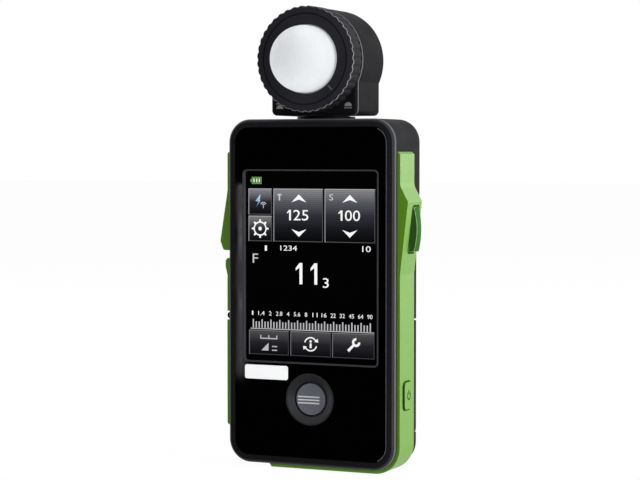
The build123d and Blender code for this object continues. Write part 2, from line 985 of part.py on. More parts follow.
def front_panel():
    sheet = slab(outline(bevel_w + frame_lip + panel_gap), panel_front_d, panel_seat_d)
    w = window_w + 2 * window_frame_w
    h = window_h + 2 * window_frame_w
    through = (panel_front_d - overrun, panel_seat_d + overrun)
    sheet -= slab(window(w, h, window_r + window_frame_w, window_z), *through)
    sheet -= disc(menu_ring_r, *through, z=menu_z)
    return sheet


def window_frame():
    w = window_w + 2 * window_frame_w
    h = window_h + 2 * window_frame_w
    front_d = panel_front_d - window_frame_proud
    ring = slab(window(w, h, window_r + window_frame_w, window_z), front_d, panel_seat_d)
    ring -= slab(
        window(window_w, window_h, window_r, window_z), front_d - overrun, panel_seat_d + overrun
    )
    return ring


def touch_panel():
    w = window_w + 2 * glass_margin
    h = window_h + 2 * glass_margin
    return slab(window(w, h, window_r, window_z), panel_seat_d, glass_back_d)


def lcd_module():
    w = window_w + 2 * lcd_margin
    h = window_h + 2 * lcd_margin
    return slab(window(w, h, window_r, window_z), glass_back_d, lcd_back_d)


def display_frame():
    h = lcd_frame_high_z - lcd_frame_low_z
    mid = (lcd_frame_high_z + lcd_frame_low_z) / 2
    plate = slab(window(lcd_frame_w, h, board_corner_r, mid), lcd_back_d, lcd_frame_back_d)
    for x, z in frame_screw_places():
        if z > mid:
            plate += disc(small_boss_r, lcd_frame_back_d, board_front_d, x, z)
    low = board_low_z + small_boss_r
    for side in (-1, 1):
        x = side * frame_screw_top_x
        plate += disc(small_boss_r, lcd_frame_back_d, board_front_d, x, low)
    for x, z in frame_screw_places():
        plate -= disc(small_screw_r, lcd_back_d - overrun, board_front_d + overrun, x, z)
    return plate


def main_board():
    h = board_high_z - board_low_z
    mid = (board_high_z + board_low_z) / 2
    board = slab(window(board_w, h, board_corner_r, mid), board_front_d, board_back_d)
    for side in (-1, 1):
        x = side * frame_screw_top_x
        board -= disc(
            small_screw_r, board_front_d - overrun, board_back_d + overrun, x, frame_screw_top_z
        )
    return board


def board_chips():
    far = board_back_d + chip_t
    places = [(0, chip_big), (chip_pitch, chip_small), (-chip_pitch, chip_small)]
    chips = []
    for x, size in places:
        half = size / 2
        chips.append(block(x - half, x + half, board_back_d, far, chip_z - half, chip_z + half))
    return Compound(children=chips)


def radio_module():
    can = Pos(radio_x, radio_z) * RectangleRounded(radio_w, radio_h, board_corner_r)
    return slab(can, board_back_d, board_back_d + radio_t)


def side_switch(side, z, tip_gap_x):
    face_x = board_edge_x
    low = min(side * face_x, side * (face_x - switch_l))
    body = block(
        low,
        low + switch_l,
        board_back_d,
        board_back_d + switch_t,
        z - switch_h / 2,
        z + switch_h / 2,
    )
    depth = board_back_d + switch_t / 2
    start = min(side * face_x, side * tip_gap_x)
    end = max(side * face_x, side * tip_gap_x)
    return body + rod(plunger_r, start, end, depth, z)


def measuring_switch():
    mid = (well_low_z + well_high_z) / 2
    return side_switch(1, mid, measure_tip_x - measure_travel - fit)


def memory_switch():
    return side_switch(-1, memory_stem_z, memory_tip_x - memory_travel - fit)


def power_switch():
    reach = seat_x - fit - power_flange_t - power_travel - fit
    half = power_switch_w / 2
    near = tray_front_d + fit
    body = block(
        tray_half_l, reach, near, near + power_switch_w, power_z - half, power_z + half
    )
    return body


def usb_socket():
    half = usb_w / 2
    outer = block(
        -usb_face_x,
        -usb_face_x + usb_l,
        board_back_d,
        board_back_d + usb_t,
        usb_z - half,
        usb_z + half,
    )
    inner = block(
        -usb_face_x - overrun,
        -usb_face_x + usb_l - usb_wall,
        board_back_d + usb_wall,
        board_back_d + usb_t - usb_wall,
        usb_z - half + usb_wall,
        usb_z + half - usb_wall,
    )
    tongue_h = half / 2
    mid = board_back_d + usb_t / 2
    tongue = block(
        -usb_face_x + usb_wall,
        -usb_face_x + usb_l - usb_wall,
        mid - usb_wall / 2,
        mid + usb_wall / 2,
        usb_z - tongue_h,
        usb_z + tongue_h,
    )
    return outer - inner + tongue


def sync_terminal():
    depth = board_back_d + sync_r
    barrel = rod(sync_r, -usb_face_x, -usb_face_x + sync_l, depth, sync_z)
    barrel -= rod(sync_bore_r, -usb_face_x - overrun, -usb_face_x + sync_bore_l, depth, sync_z)
    barrel += rod(sync_pin_r, -usb_face_x + usb_wall, -usb_face_x + sync_bore_l, depth, sync_z)
    return barrel


def lead_socket():
    half = socket_w / 2
    return block(
        -half,
        half,
        board_back_d,
        board_back_d + socket_t,
        socket_z - socket_h / 2,
        socket_z + socket_h / 2,
    )


def blank_label():
    strip = Pos(label_x, label_z) * RectangleRounded(label_w, label_h, label_r)
    return slab(strip, panel_front_d - label_t, panel_front_d)


def revolved(points, z):
    face = shape(points, [0] * len(points))
    plane = Plane(origin=(0, 0, z), x_dir=(1, 0, 0), z_dir=(0, 0, 1))
    return revolve(plane * face, Axis((0, 0, z), (0, 1, 0)), 360)


def menu_ring():
    rim = panel_front_d
    bowl = (menu_face_d + panel_seat_d) / 2
    points = [
        (menu_hole_r, y_at(bowl)),
        (menu_ring_r - menu_ring_lip, y_at(rim)),
        (menu_ring_r, y_at(rim)),
        (menu_ring_r, y_at(panel_seat_d)),
        (menu_hole_r, y_at(panel_seat_d)),
    ]
    return revolved(points, menu_z)


def menu_button():
    flange_d = floor_back_d + fit / 2
    tip_d = flange_d + menu_flange_t
    cap = disc(menu_face_r, menu_face_d, flange_d, z=menu_z)
    cap += disc(menu_flange_r, flange_d, tip_d, z=menu_z)
    cap += disc(menu_tip_r, tip_d, tip_d + menu_tip_t, z=menu_z)
    sphere_r = (menu_face_r**2 + menu_dish**2) / (2 * menu_dish)
    dish = Pos(0, y_at(menu_face_d + menu_dish) - sphere_r, menu_z) * Sphere(sphere_r)
    return cap - dish


def key_board():
    board = Pos(0, key_board_z) * RectangleRounded(key_board_w, key_board_h, board_corner_r)
    sheet = slab(board, key_board_d, key_board_d + key_board_t)
    for x, z in key_screw_places():
        sheet -= disc(small_screw_r, key_board_d - overrun, key_board_d + overrun + overrun, x, z)
    return sheet


def menu_switch():
    tip = floor_back_d + fit / 2 + menu_flange_t + menu_tip_t
    top = tip + menu_travel + fit / 2
    return disc(key_switch_r, top, key_board_d, z=menu_z)


def small_screw(x, z, seat_d, bottom_d):
    screw = disc(small_screw_r, bottom_d, seat_d, x, z)
    return screw + disc(small_head_r, seat_d, seat_d + small_head_t, x, z)


def board_screws():
    screws = []
    for x, z in frame_screw_places():
        seat = board_back_d if z > case_mid_z else lcd_frame_back_d
        screws.append(small_screw(x, z, seat, floor_back_d + fit))
    for x, z in key_screw_places():
        screws.append(small_screw(x, z, key_board_d + key_board_t, floor_back_d + fit))
    return Compound(children=screws)


def cell_places():
    return [(cell_low_z, 1), (cell_low_z + cell_pitch, -1)]


def battery_cell(z, side):
    start = -side * (cell_l + nub_l) / 2
    shoulder = start + side * cell_l
    end = shoulder + side * nub_l
    can = rod(cell_r, min(start, shoulder), max(start, shoulder), cell_d, z)
    return can + rod(nub_r, min(shoulder, end), max(shoulder, end), cell_d, z)


def battery_tray():
    tray = block(-tray_half_l, tray_half_l, tray_front_d, tray_back_d, tray_low_z, tray_high_z)
    half = tray_half_l - tray_wall
    for z, side in cell_places():
        r = cell_r + cell_gap
        tray -= rod(r, -half, half, cell_d, z)
        tray -= block(-half, half, cell_d, tray_back_d + overrun, z - r, z + r)
    for side in (-1, 1):
        tray += disc(tray_foot_r, floor_back_d, tray_front_d, side * tray_foot_x, tray_foot_z)
        mid = side * tray_foot_x
        tray += block(
            mid - tray_rest_w / 2,
            mid + tray_rest_w / 2,
            lcd_frame_back_d,
            tray_front_d,
            tray_rest_z - tray_foot_r,
            tray_rest_z + tray_foot_r,
        )
    return tray


def battery_contact(z, side):
    wall_x = tray_half_l - tray_wall
    cell_end = (cell_l + nub_l) / 2
    plate_x = wall_x - contact_t
    half = contact_w / 2
    low = min(side * wall_x, side * plate_x)
    plate = block(low, low + contact_t, cell_d - half, cell_d + half, z - half, z + half)
    start = min(side * plate_x, side * cell_end)
    end = max(side * plate_x, side * cell_end)
    return plate + rod(contact_bump_r, start, end, cell_d, z)


def battery_contacts():
    plates = []
    for z, side in cell_places():
        plates.append(battery_contact(z, 1))
        plates.append(battery_contact(z, -1))
    return Compound(children=plates)


def tripod_socket():
    back = low_back_d - tripod_sunk
    bush = disc(tripod_bush_r, tripod_front_d, back, z=tripod_z)
    return bush - disc(tripod_r, tripod_front_d + tripod_floor, back + overrun, z=tripod_z)


def case_screws():
    screws = []
    for x, z in front_boss_places():
        end = split_d - case_screw_l + fit
        screw = disc(case_screw_r, end, case_head_floor_d, x, z)
        screw += disc(case_head_r, case_head_floor_d, case_head_floor_d + case_head_t, x, z)
        screws.append(screw)
    return Compound(children=screws)


def swivel_collar():
    collar = post(neck_r, case_top_z, case_top_z + neck_h, 0, swivel_d)
    collar += post(neck_lip_r, case_top_z, neck_lip_z, 0, swivel_d)
    collar += post(collar_tube_r, case_top_z - side_wall, case_top_z, 0, swivel_d)
    collar += post(collar_flange_r, collar_low_z, case_top_z - side_wall, 0, swivel_d)
    bore = shaft_r + shaft_play
    return collar - post(bore, collar_low_z - overrun, neck_lip_z + overrun, 0, swivel_d)


def swivel_shaft():
    top = head_low_z + head_floor_t
    shaft = post(shaft_r, shaft_low_z, top, 0, swivel_d)
    shaft += post(shaft_flange_r, top, flange_top_z, 0, swivel_d)
    return shaft - post(shaft_bore_r, shaft_low_z - overrun, flange_top_z + overrun, 0, swivel_d)


def friction_washer():
    top = collar_low_z
    ring = post(washer_r, top - washer_t, top, 0, swivel_d)
    return ring - post(shaft_r + fit, top - washer_t - overrun, top + overrun, 0, swivel_d)


def swivel_retainer():
    top = collar_low_z - washer_t - fit
    ring = post(retainer_r, top - retainer_t, top, 0, swivel_d)
    return ring - post(shaft_r, top - retainer_t - overrun, top + overrun, 0, swivel_d)


def head_form(near, far, block_far, edge_r, at_front):
    edge_d = near if at_front else far
    round_part = disc(head_r, near, far, z=head_z)
    rim = round_part.edges().filter_by(
        lambda e: abs(e.center().Y - y_at(edge_d)) < edge_break / 2
    )
    round_part = fillet(rim, edge_r)
    half = block_half_w
    points = [(-half, head_z), (-half, head_low_z), (half, head_low_z), (half, head_z)]
    foot = slab(shape(points, [0, block_corner_r, block_corner_r, 0]), near, block_far)
    block_edge_d = near if at_front else block_far
    rim = foot.edges().filter_by(
        lambda e: abs(e.center().Y - y_at(block_edge_d)) < edge_break / 2
        and e.center().Z < head_z - edge_break
    )
    foot = fillet(rim, edge_r)
    return round_part + foot


def neck_recess():
    return post(neck_lip_r + run, head_low_z - overrun, neck_lip_z + run, 0, swivel_d)


def head_housing():
    shell = head_form(head_front_d, head_split_d, head_split_d, head_edge_r, True)
    inside_d = head_front_d + head_wall
    shell -= disc(head_bore_r, inside_d, head_split_d + overrun, z=head_z)
    shell -= disc(cam_r + ring_play, head_front_d - overrun, inside_d + overrun, z=head_z)
    shell -= block(
        -block_bore_half_w,
        block_bore_half_w,
        swivel_d - shaft_flange_r - run,
        head_split_d + overrun,
        head_low_z + head_floor_t,
        head_z,
    )
    for angle in (90, 210, 330):
        shell += base_lug(angle)
    for side in (-1, 1):
        x = side * head_screw_x
        shell -= disc(small_screw_r, head_split_d - head_screw_l, head_split_d + overrun, x, head_screw_z)
    shell -= post(shaft_r, head_low_z - overrun, head_low_z + head_floor_t + fit, 0, swivel_d)
    return shell - neck_recess()


def base_lug(angle):
    inner = head_bore_r - lug_reach
    middle = (inner + head_bore_r + head_wall / 2) / 2
    length = head_bore_r + head_wall / 2 - inner
    bar = Pos(0, head_z) * Rot(0, 0, angle) * Pos(middle, 0) * Rectangle(length, lug_w)
    lug = slab(bar, lug_back_d - lug_t, lug_back_d)
    return lug & disc(head_r - edge_break, head_front_d, head_split_d, z=head_z)


def head_back_cover():
    cover = head_form(head_split_d, head_back_d, block_back_d, head_back_edge_r, False)
    for side in (-1, 1):
        x = side * head_screw_x
        cover -= disc(small_screw_r + fit, head_split_d - overrun, head_back_d + overrun, x, head_screw_z)
        cover -= disc(
            small_head_r + fit, block_back_d - small_head_t - fit, head_back_d + overrun, x, head_screw_z
        )
    return cover - neck_recess()


def head_screws():
    seat = block_back_d - small_head_t - fit
    screws = []
    for side in (-1, 1):
        x = side * head_screw_x
        screws.append(small_screw(x, head_screw_z, seat, head_split_d - head_screw_l + fit))
    return Compound(children=screws)


def dome_ring():
    slope_d = ring_front_d + ring_slope
    groove_out = ring_groove_r + ring_groove_w
    points = [
        (ring_bore_r, y_at(ring_front_d)),
        (ring_groove_r, y_at(ring_front_d)),
        (ring_groove_r, y_at(ring_front_d + ring_groove_t)),
        (groove_out, y_at(ring_front_d + ring_groove_t)),
        (groove_out, y_at(ring_front_d)),
        (ring_r, y_at(slope_d)),
        (ring_r, y_at(ring_back_d)),
        (cam_r, y_at(ring_back_d)),
        (cam_r, y_at(cam_end_d)),
        (cam_bore_r, y_at(cam_end_d)),
        (cam_bore_r, y_at(ring_front_d + ring_lip_t)),
        (ring_bore_r, y_at(ring_front_d + ring_lip_t)),
    ]
    ring = revolved(points, head_z)
    groove_at = ring_r + scallop_r - scallop_depth
    cuts = Sketch()
    for step in range(scallop_count):
        angle = 360 / scallop_count * step
        cuts += Pos(0, head_z) * Rot(0, 0, angle) * Pos(groove_at, 0) * Circle(scallop_r)
    ring -= slab(cuts, ring_front_d - overrun, ring_back_d + overrun)
    for step in range(pin_count):
        ring -= cam_slot(90 + 360 / pin_count * step)
    ring -= tube(cam_r + overrun, cam_r - circlip_depth, circlip_d, circlip_d + circlip_t, z=head_z)
    return ring


def cam_slot(angle):
    clear = pin_r + pin_play
    arc_r = (cam_bore_r + cam_r) / 2
    sweep_l = arc_r * radians(cam_angle)
    lead_l = (sweep_l**2 + dome_travel**2) ** 0.5
    half_width = clear * lead_l / dome_travel
    start_d = pin_d - clear
    total_l = dome_travel + 2 * clear
    total_angle = cam_angle * total_l / dome_travel
    extra = (total_angle - cam_angle) / 2
    bar_l = cam_r - cam_bore_r + 2 * overrun / 2
    bar = Pos(arc_r, 0) * Rectangle(bar_l, 2 * half_width)
    plane = Plane(origin=(0, y_at(start_d), head_z), x_dir=(1, 0, 0), z_dir=(0, 1, 0))
    section = (plane * Rot(0, 0, extra - angle) * bar).faces()[0]
    return Solid.extrude_linear_with_rotation(
        section, (0, y_at(start_d), head_z), (0, total_l, 0), -total_angle
    )


def ring_circlip():
    inner = cam_r - circlip_depth
    return tube(circlip_r, inner, circlip_d, circlip_d + circlip_t, z=head_z)


def diffuser_dome():
    base = y_at(dome_base_d)
    skirt = y_at(dome_base_d + dome_skirt)
    inner_r = dome_r - dome_wall
    lean = radians(45)
    outer = ThreePointArc(
        (0, base - dome_r), (dome_r * sin(lean), base - dome_r * cos(lean)), (dome_r, base)
    )
    inner = ThreePointArc(
        (inner_r, base), (inner_r * sin(lean), base - inner_r * cos(lean)), (0, base - inner_r)
    )
    lines = [
        outer,
        Polyline((dome_r, base), (dome_r, skirt), (inner_r, skirt), (inner_r, base)),
        inner,
        Line((0, base - inner_r), (0, base - dome_r)),
    ]
    plane = Plane(origin=(0, 0, head_z), x_dir=(1, 0, 0), z_dir=(0, 0, 1))
    return revolve(plane * make_face(lines), Axis((0, 0, head_z), (0, 1, 0)), 360)


def dome_carrier():
    seat = dome_base_d + dome_skirt
    carrier = tube(carrier_r, carrier_bore_r, seat, carrier_end_d, z=head_z)
    spigot_r = dome_r - dome_wall
    carrier += tube(spigot_r, spigot_r - spigot_t, dome_base_d, seat, z=head_z)
    for step in range(pin_count):
        carrier -= radial_pin(90 + 360 / pin_count * step, carrier_r + overrun)
    return carrier


def radial_pin(angle, tip_r):
    axis = Vector(cos(radians(angle)), 0, sin(radians(angle)))
    start = Vector(0, y_at(pin_d), head_z) + axis * pin_root_r
    plane = Plane(origin=start, x_dir=(0, 1, 0), z_dir=axis)
    return extrude(plane * Circle(pin_r), amount=tip_r - pin_root_r)


def carrier_pins():
    return Compound(children=[radial_pin(90 + 360 / pin_count * n, pin_tip_r) for n in range(pin_count)])


def guide_sleeve():
    sleeve = tube(guide_r, guide_bore_r, guide_front_d, base_front_d, z=head_z)
    low_d = pin_d - pin_r - pin_play
    high_d = pin_d + dome_travel + pin_r + pin_play
    for step in range(pin_count):
        angle = 90 + 360 / pin_count * step
        middle = (guide_bore_r + guide_r) / 2
        length = guide_r - guide_bore_r + overrun
        bar = Pos(0, head_z) * Rot(0, 0, angle) * Pos(middle, 0)
        sleeve -= slab(bar * Rectangle(length, 2 * (pin_r + pin_play)), low_d, high_d)
    return sleeve


def sensor_base():
    base = disc(base_r, base_front_d, base_front_d + base_t, z=head_z)
    base += disc(sensor_boss_r, sensor_boss_d, base_front_d, z=head_z)
    base -= disc(sensor_pocket_r, sensor_boss_d - overrun, sensor_boss_d + sensor_pocket_t, z=head_z)
    low = head_z - base_r
    near = base_front_d - overrun
    far = base_front_d + base_t + overrun
    half = lead_notch_w / 2
    notch = block(-half, half, near, far, low - overrun, low + lead_notch_h)
    return base - notch


def photo_sensor():
    floor = sensor_boss_d + sensor_pocket_t
    front = sensor_boss_d + filter_t - fit
    return disc(sensor_r, front, floor, z=head_z)


def sensor_filter():
    front = sensor_boss_d - fit
    return disc(sensor_pocket_r, front, front + filter_t, z=head_z)


def sensor_board():
    near = base_front_d + base_t
    return disc(sensor_board_r, near, near + sensor_board_t, z=head_z)


def swept_lead(points, radii):
    path = FilletPolyline(*points, radius=radii)
    start = path @ 0
    heading = path % 0
    face = Plane(origin=start, z_dir=heading) * Circle(lead_r)
    return sweep(face, path=path)


def sensor_lead():
    board_d = base_front_d + base_t + sensor_board_t / 2
    points = [
        (0, y_at(board_d), head_z - sensor_board_r),
        (0, y_at(board_d), lead_top_z),
        (0, y_at(swivel_d), lead_joint_z),
        (0, y_at(swivel_d), lead_end_z),
    ]
    return swept_lead(points, [lead_bend_r, lead_bend_r])


def case_lead():
    points = [
        (0, y_at(swivel_d), lead_end_z - fit),
        (0, y_at(swivel_d), case_lead_top_z),
        (0, y_at(case_lead_d), case_lead_low_z),
        (0, y_at(case_lead_d), socket_z + socket_h / 2),
    ]
    return swept_lead(points, [lead_bend_r, lead_bend_r])


pieces = {
    "front_case": front_case,
    "rear_case": rear_case,
    "front_panel": front_panel,
    "window_frame": window_frame,
    "touch_panel": touch_panel,
    "lcd_module": lcd_module,
    "display_frame": display_frame,
    "main_board": main_board,
    "board_chips": board_chips,
    "radio_module": radio_module,
    "board_screws": board_screws,
    "blank_label": blank_label,
    "menu_ring": menu_ring,
    "menu_button": menu_button,
    "menu_switch": menu_switch,
    "key_board": key_board,
    "side_trim_right": side_trim_right,
    "measuring_button": measuring_button,
    "measuring_switch": measuring_switch,
    "power_button": power_button,
    "power_switch": power_switch,
    "side_trim_left": side_trim_left,
    "memory_button": memory_button,
    "memory_switch": memory_switch,
    "terminal_cover": terminal_cover,
    "terminal_cover_pin": terminal_cover_pin,
    "usb_socket": usb_socket,
    "sync_terminal": sync_terminal,
    "lead_socket": lead_socket,
    "battery_door": battery_door,
    "battery_door_pin": battery_door_pin,
    "battery_tray": battery_tray,
    "battery_contacts": battery_contacts,
    "tripod_socket": tripod_socket,
    "case_screws": case_screws,
    "swivel_collar": swivel_collar,
    "friction_washer": friction_washer,
    "swivel_shaft": swivel_shaft,
    "swivel_retainer": swivel_retainer,
    "head_housing": head_housing,
    "head_back_cover": head_back_cover,
    "head_screws": head_screws,
    "dome_ring": dome_ring,
    "ring_circlip": ring_circlip,
    "diffuser_dome": diffuser_dome,
    "dome_carrier": dome_carrier,
    "carrier_pins": carrier_pins,
    "guide_sleeve": guide_sleeve,
    "sensor_base": sensor_base,
    "photo_sensor": photo_sensor,
    "sensor_filter": sensor_filter,
    "sensor_board": sensor_board,
    "sensor_lead": sensor_lead,
    "case_lead": case_lead,
}

os.makedirs("parts", exist_ok=True)
for name, make in pieces.items():
    export_step(make(), f"parts/{name}.step")
for number, (z, side) in enumerate(cell_places(), start=1):
    export_step(battery_cell(z, side), f"parts/battery_cell_{number}.step")
print("pieces written", len(pieces) + len(cell_places()))
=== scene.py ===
from functools import partial
from math import cos, pi, radians, sin

import bmesh
import bpy
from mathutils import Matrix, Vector


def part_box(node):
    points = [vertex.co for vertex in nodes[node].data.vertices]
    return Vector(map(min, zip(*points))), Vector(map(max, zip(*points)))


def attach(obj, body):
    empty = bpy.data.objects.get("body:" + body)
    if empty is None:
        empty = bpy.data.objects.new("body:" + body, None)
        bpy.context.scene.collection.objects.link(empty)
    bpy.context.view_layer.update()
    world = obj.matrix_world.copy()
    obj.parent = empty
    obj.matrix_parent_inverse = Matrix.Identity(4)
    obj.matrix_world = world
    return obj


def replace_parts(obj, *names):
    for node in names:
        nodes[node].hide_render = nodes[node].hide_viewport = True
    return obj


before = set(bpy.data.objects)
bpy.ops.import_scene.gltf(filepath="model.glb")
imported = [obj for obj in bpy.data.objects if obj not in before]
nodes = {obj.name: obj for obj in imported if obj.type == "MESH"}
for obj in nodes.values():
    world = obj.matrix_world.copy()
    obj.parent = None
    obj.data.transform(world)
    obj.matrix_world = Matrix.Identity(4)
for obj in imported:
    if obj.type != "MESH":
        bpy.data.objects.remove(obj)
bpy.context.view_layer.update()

mm = 0.001
print("frame loaded:", len(nodes), "nodes")


def hexColour(text):
    parts = [int(text[i:i + 2], 16) / 255 for i in (1, 3, 5)]
    return [p / 12.92 if p <= 0.04045 else ((p + 0.055) / 1.055) ** 2.4 for p in parts] + [1.0]


# an input takes a value, or another node with the name of its output
def addNode(material, kind, inputs={}, **settings):
    tree = material.node_tree
    node = tree.nodes.new("ShaderNode" + kind)
    for key, value in settings.items():
        setattr(node, key, value)
    for key, value in inputs.items():
        if isinstance(value, tuple) and isinstance(value[0], bpy.types.Node):
            tree.links.new(value[0].outputs[value[1]], node.inputs[key])
        else:
            node.inputs[key].default_value = value
    return node


def emptyMaterial(name):
    material = bpy.data.materials.new(name)
    material.use_nodes = True
    material.node_tree.nodes.clear()
    return material


def withSurface(material, shader, output="BSDF"):
    addNode(material, "OutputMaterial", {"Surface": (shader, output)})
    return material


def tinted(material, colour, tint, share):
    mix = addNode(material, "Mix", {"B": hexColour(tint), "Factor": share, "A": colour},
                  data_type="RGBA")
    return mix, "Result"


# the mask for painted light and shade on facets: white on facets that lean between two shares to the front,
# black on the others
def leanBand(material, place, low, high, fade=0.02):
    add = partial(addNode, material)
    heading = add("SeparateXYZ", {"Vector": (place, "Normal")})
    lean = add("Math", {0: (heading, "Y"), 1: -1.0}, operation="MULTIPLY")
    band = add("ValToRGB", {"Fac": (lean, "Value")})
    stops = band.color_ramp.elements
    for position, level in ((low - fade, 0), (low, 1), (high, 1), (high + fade, 0)):
        if position < 1:
            stops.new(position).color = (level, level, level, 1)
    if high < 1:
        stops[-1].color = (0, 0, 0, 1)
    return band, "Color"


# the mask for a painted highlight: one on edges that bend enough, between two depths in mm
def paintedEdgeHighlight(material, place, edge, depths, bendFrom=0.99, bendTo=0.88):
    add = partial(addNode, material)
    flat = add("NewGeometry")
    bend = add("VectorMath", {0: (edge, "Normal"), 1: (flat, "Normal")}, operation="DOT_PRODUCT")
    rim = add("MapRange", {"From Min": bendFrom, "From Max": bendTo, "Value": (bend, "Value")})
    spot = add("SeparateXYZ", {"Vector": (place, "Object")})
    middle, reach = sum(depths) / 2 * mm, (depths[1] - depths[0]) / 2 * mm
    within = add("Math", {0: (spot, "Y"), 1: middle, 2: reach}, operation="COMPARE")
    share = add("Math", {0: (rim, "Result"), 1: (within, "Value")}, operation="MULTIPLY")
    return share, "Value"


# grain, cloudy gloss, a little colour drift and softened edges, with painted light and shade on chosen
# facets and a painted highlight on bent edges
def grainedFinish(look):
    material = emptyMaterial(look["name"])
    add = partial(addNode, material)
    place = add("TexCoord")
    stretch = add("Mapping", {"Scale": look.get("stretch", (1, 1, 1)),
                              "Vector": (place, "Object")})
    grain = add("TexNoise", {"Scale": 1 / (look["grain"] * mm), "Detail": 3.0, "Roughness": 0.6,
                             "Vector": (stretch, "Vector")})
    cloud = add("TexNoise", {"Scale": 1 / (look["cloud"] * mm), "Detail": 4.0,
                             "Vector": (place, "Object")})
    rough, drift = look["rough"], look.get("drift", 0.05)
    gloss = add("MapRange", {"From Min": 0.3, "From Max": 0.7, "To Min": rough - drift,
                             "To Max": rough + drift, "Value": (cloud, "Fac")})
    tone = add("ValToRGB", {"Fac": (grain, "Fac")})
    first, last = tone.color_ramp.elements
    first.position, last.position = 0.35, 0.65       # where the noise turns from dark to light
    first.color, last.color = hexColour(look["dark"]), hexColour(look["light"])
    edge = add("Bevel", {"Radius": look.get("edge", 0.05) * mm}, samples=4)
    colour = (tone, "Color")
    # painted light and shade on facets, by how far they lean to the front
    for low, high, tint in look.get("lines", ()):
        colour = tinted(material, colour, tint, leanBand(material, place, low, high))
    # a painted highlight along edges that bend
    if "edgeHighlight" in look:
        share = paintedEdgeHighlight(material, place, edge, look.get("highlightDepths", (-99, 99)))
        colour = tinted(material, colour, look["edgeHighlight"], share)
    bump = add("Bump", {"Distance": look["relief"] * mm, "Strength": 0.6, "Height": (grain, "Fac"),
                        "Normal": (edge, "Normal")})
    shader = add("BsdfPrincipled", {
        "Base Color": colour, "Roughness": (gloss, "Result"), "Normal": (bump, "Normal"),
        "Metallic": look.get("metal", 0.0), "Specular IOR Level": look.get("specular", 0.5),
        **look.get("sockets", {})})
    return withSurface(material, shader)
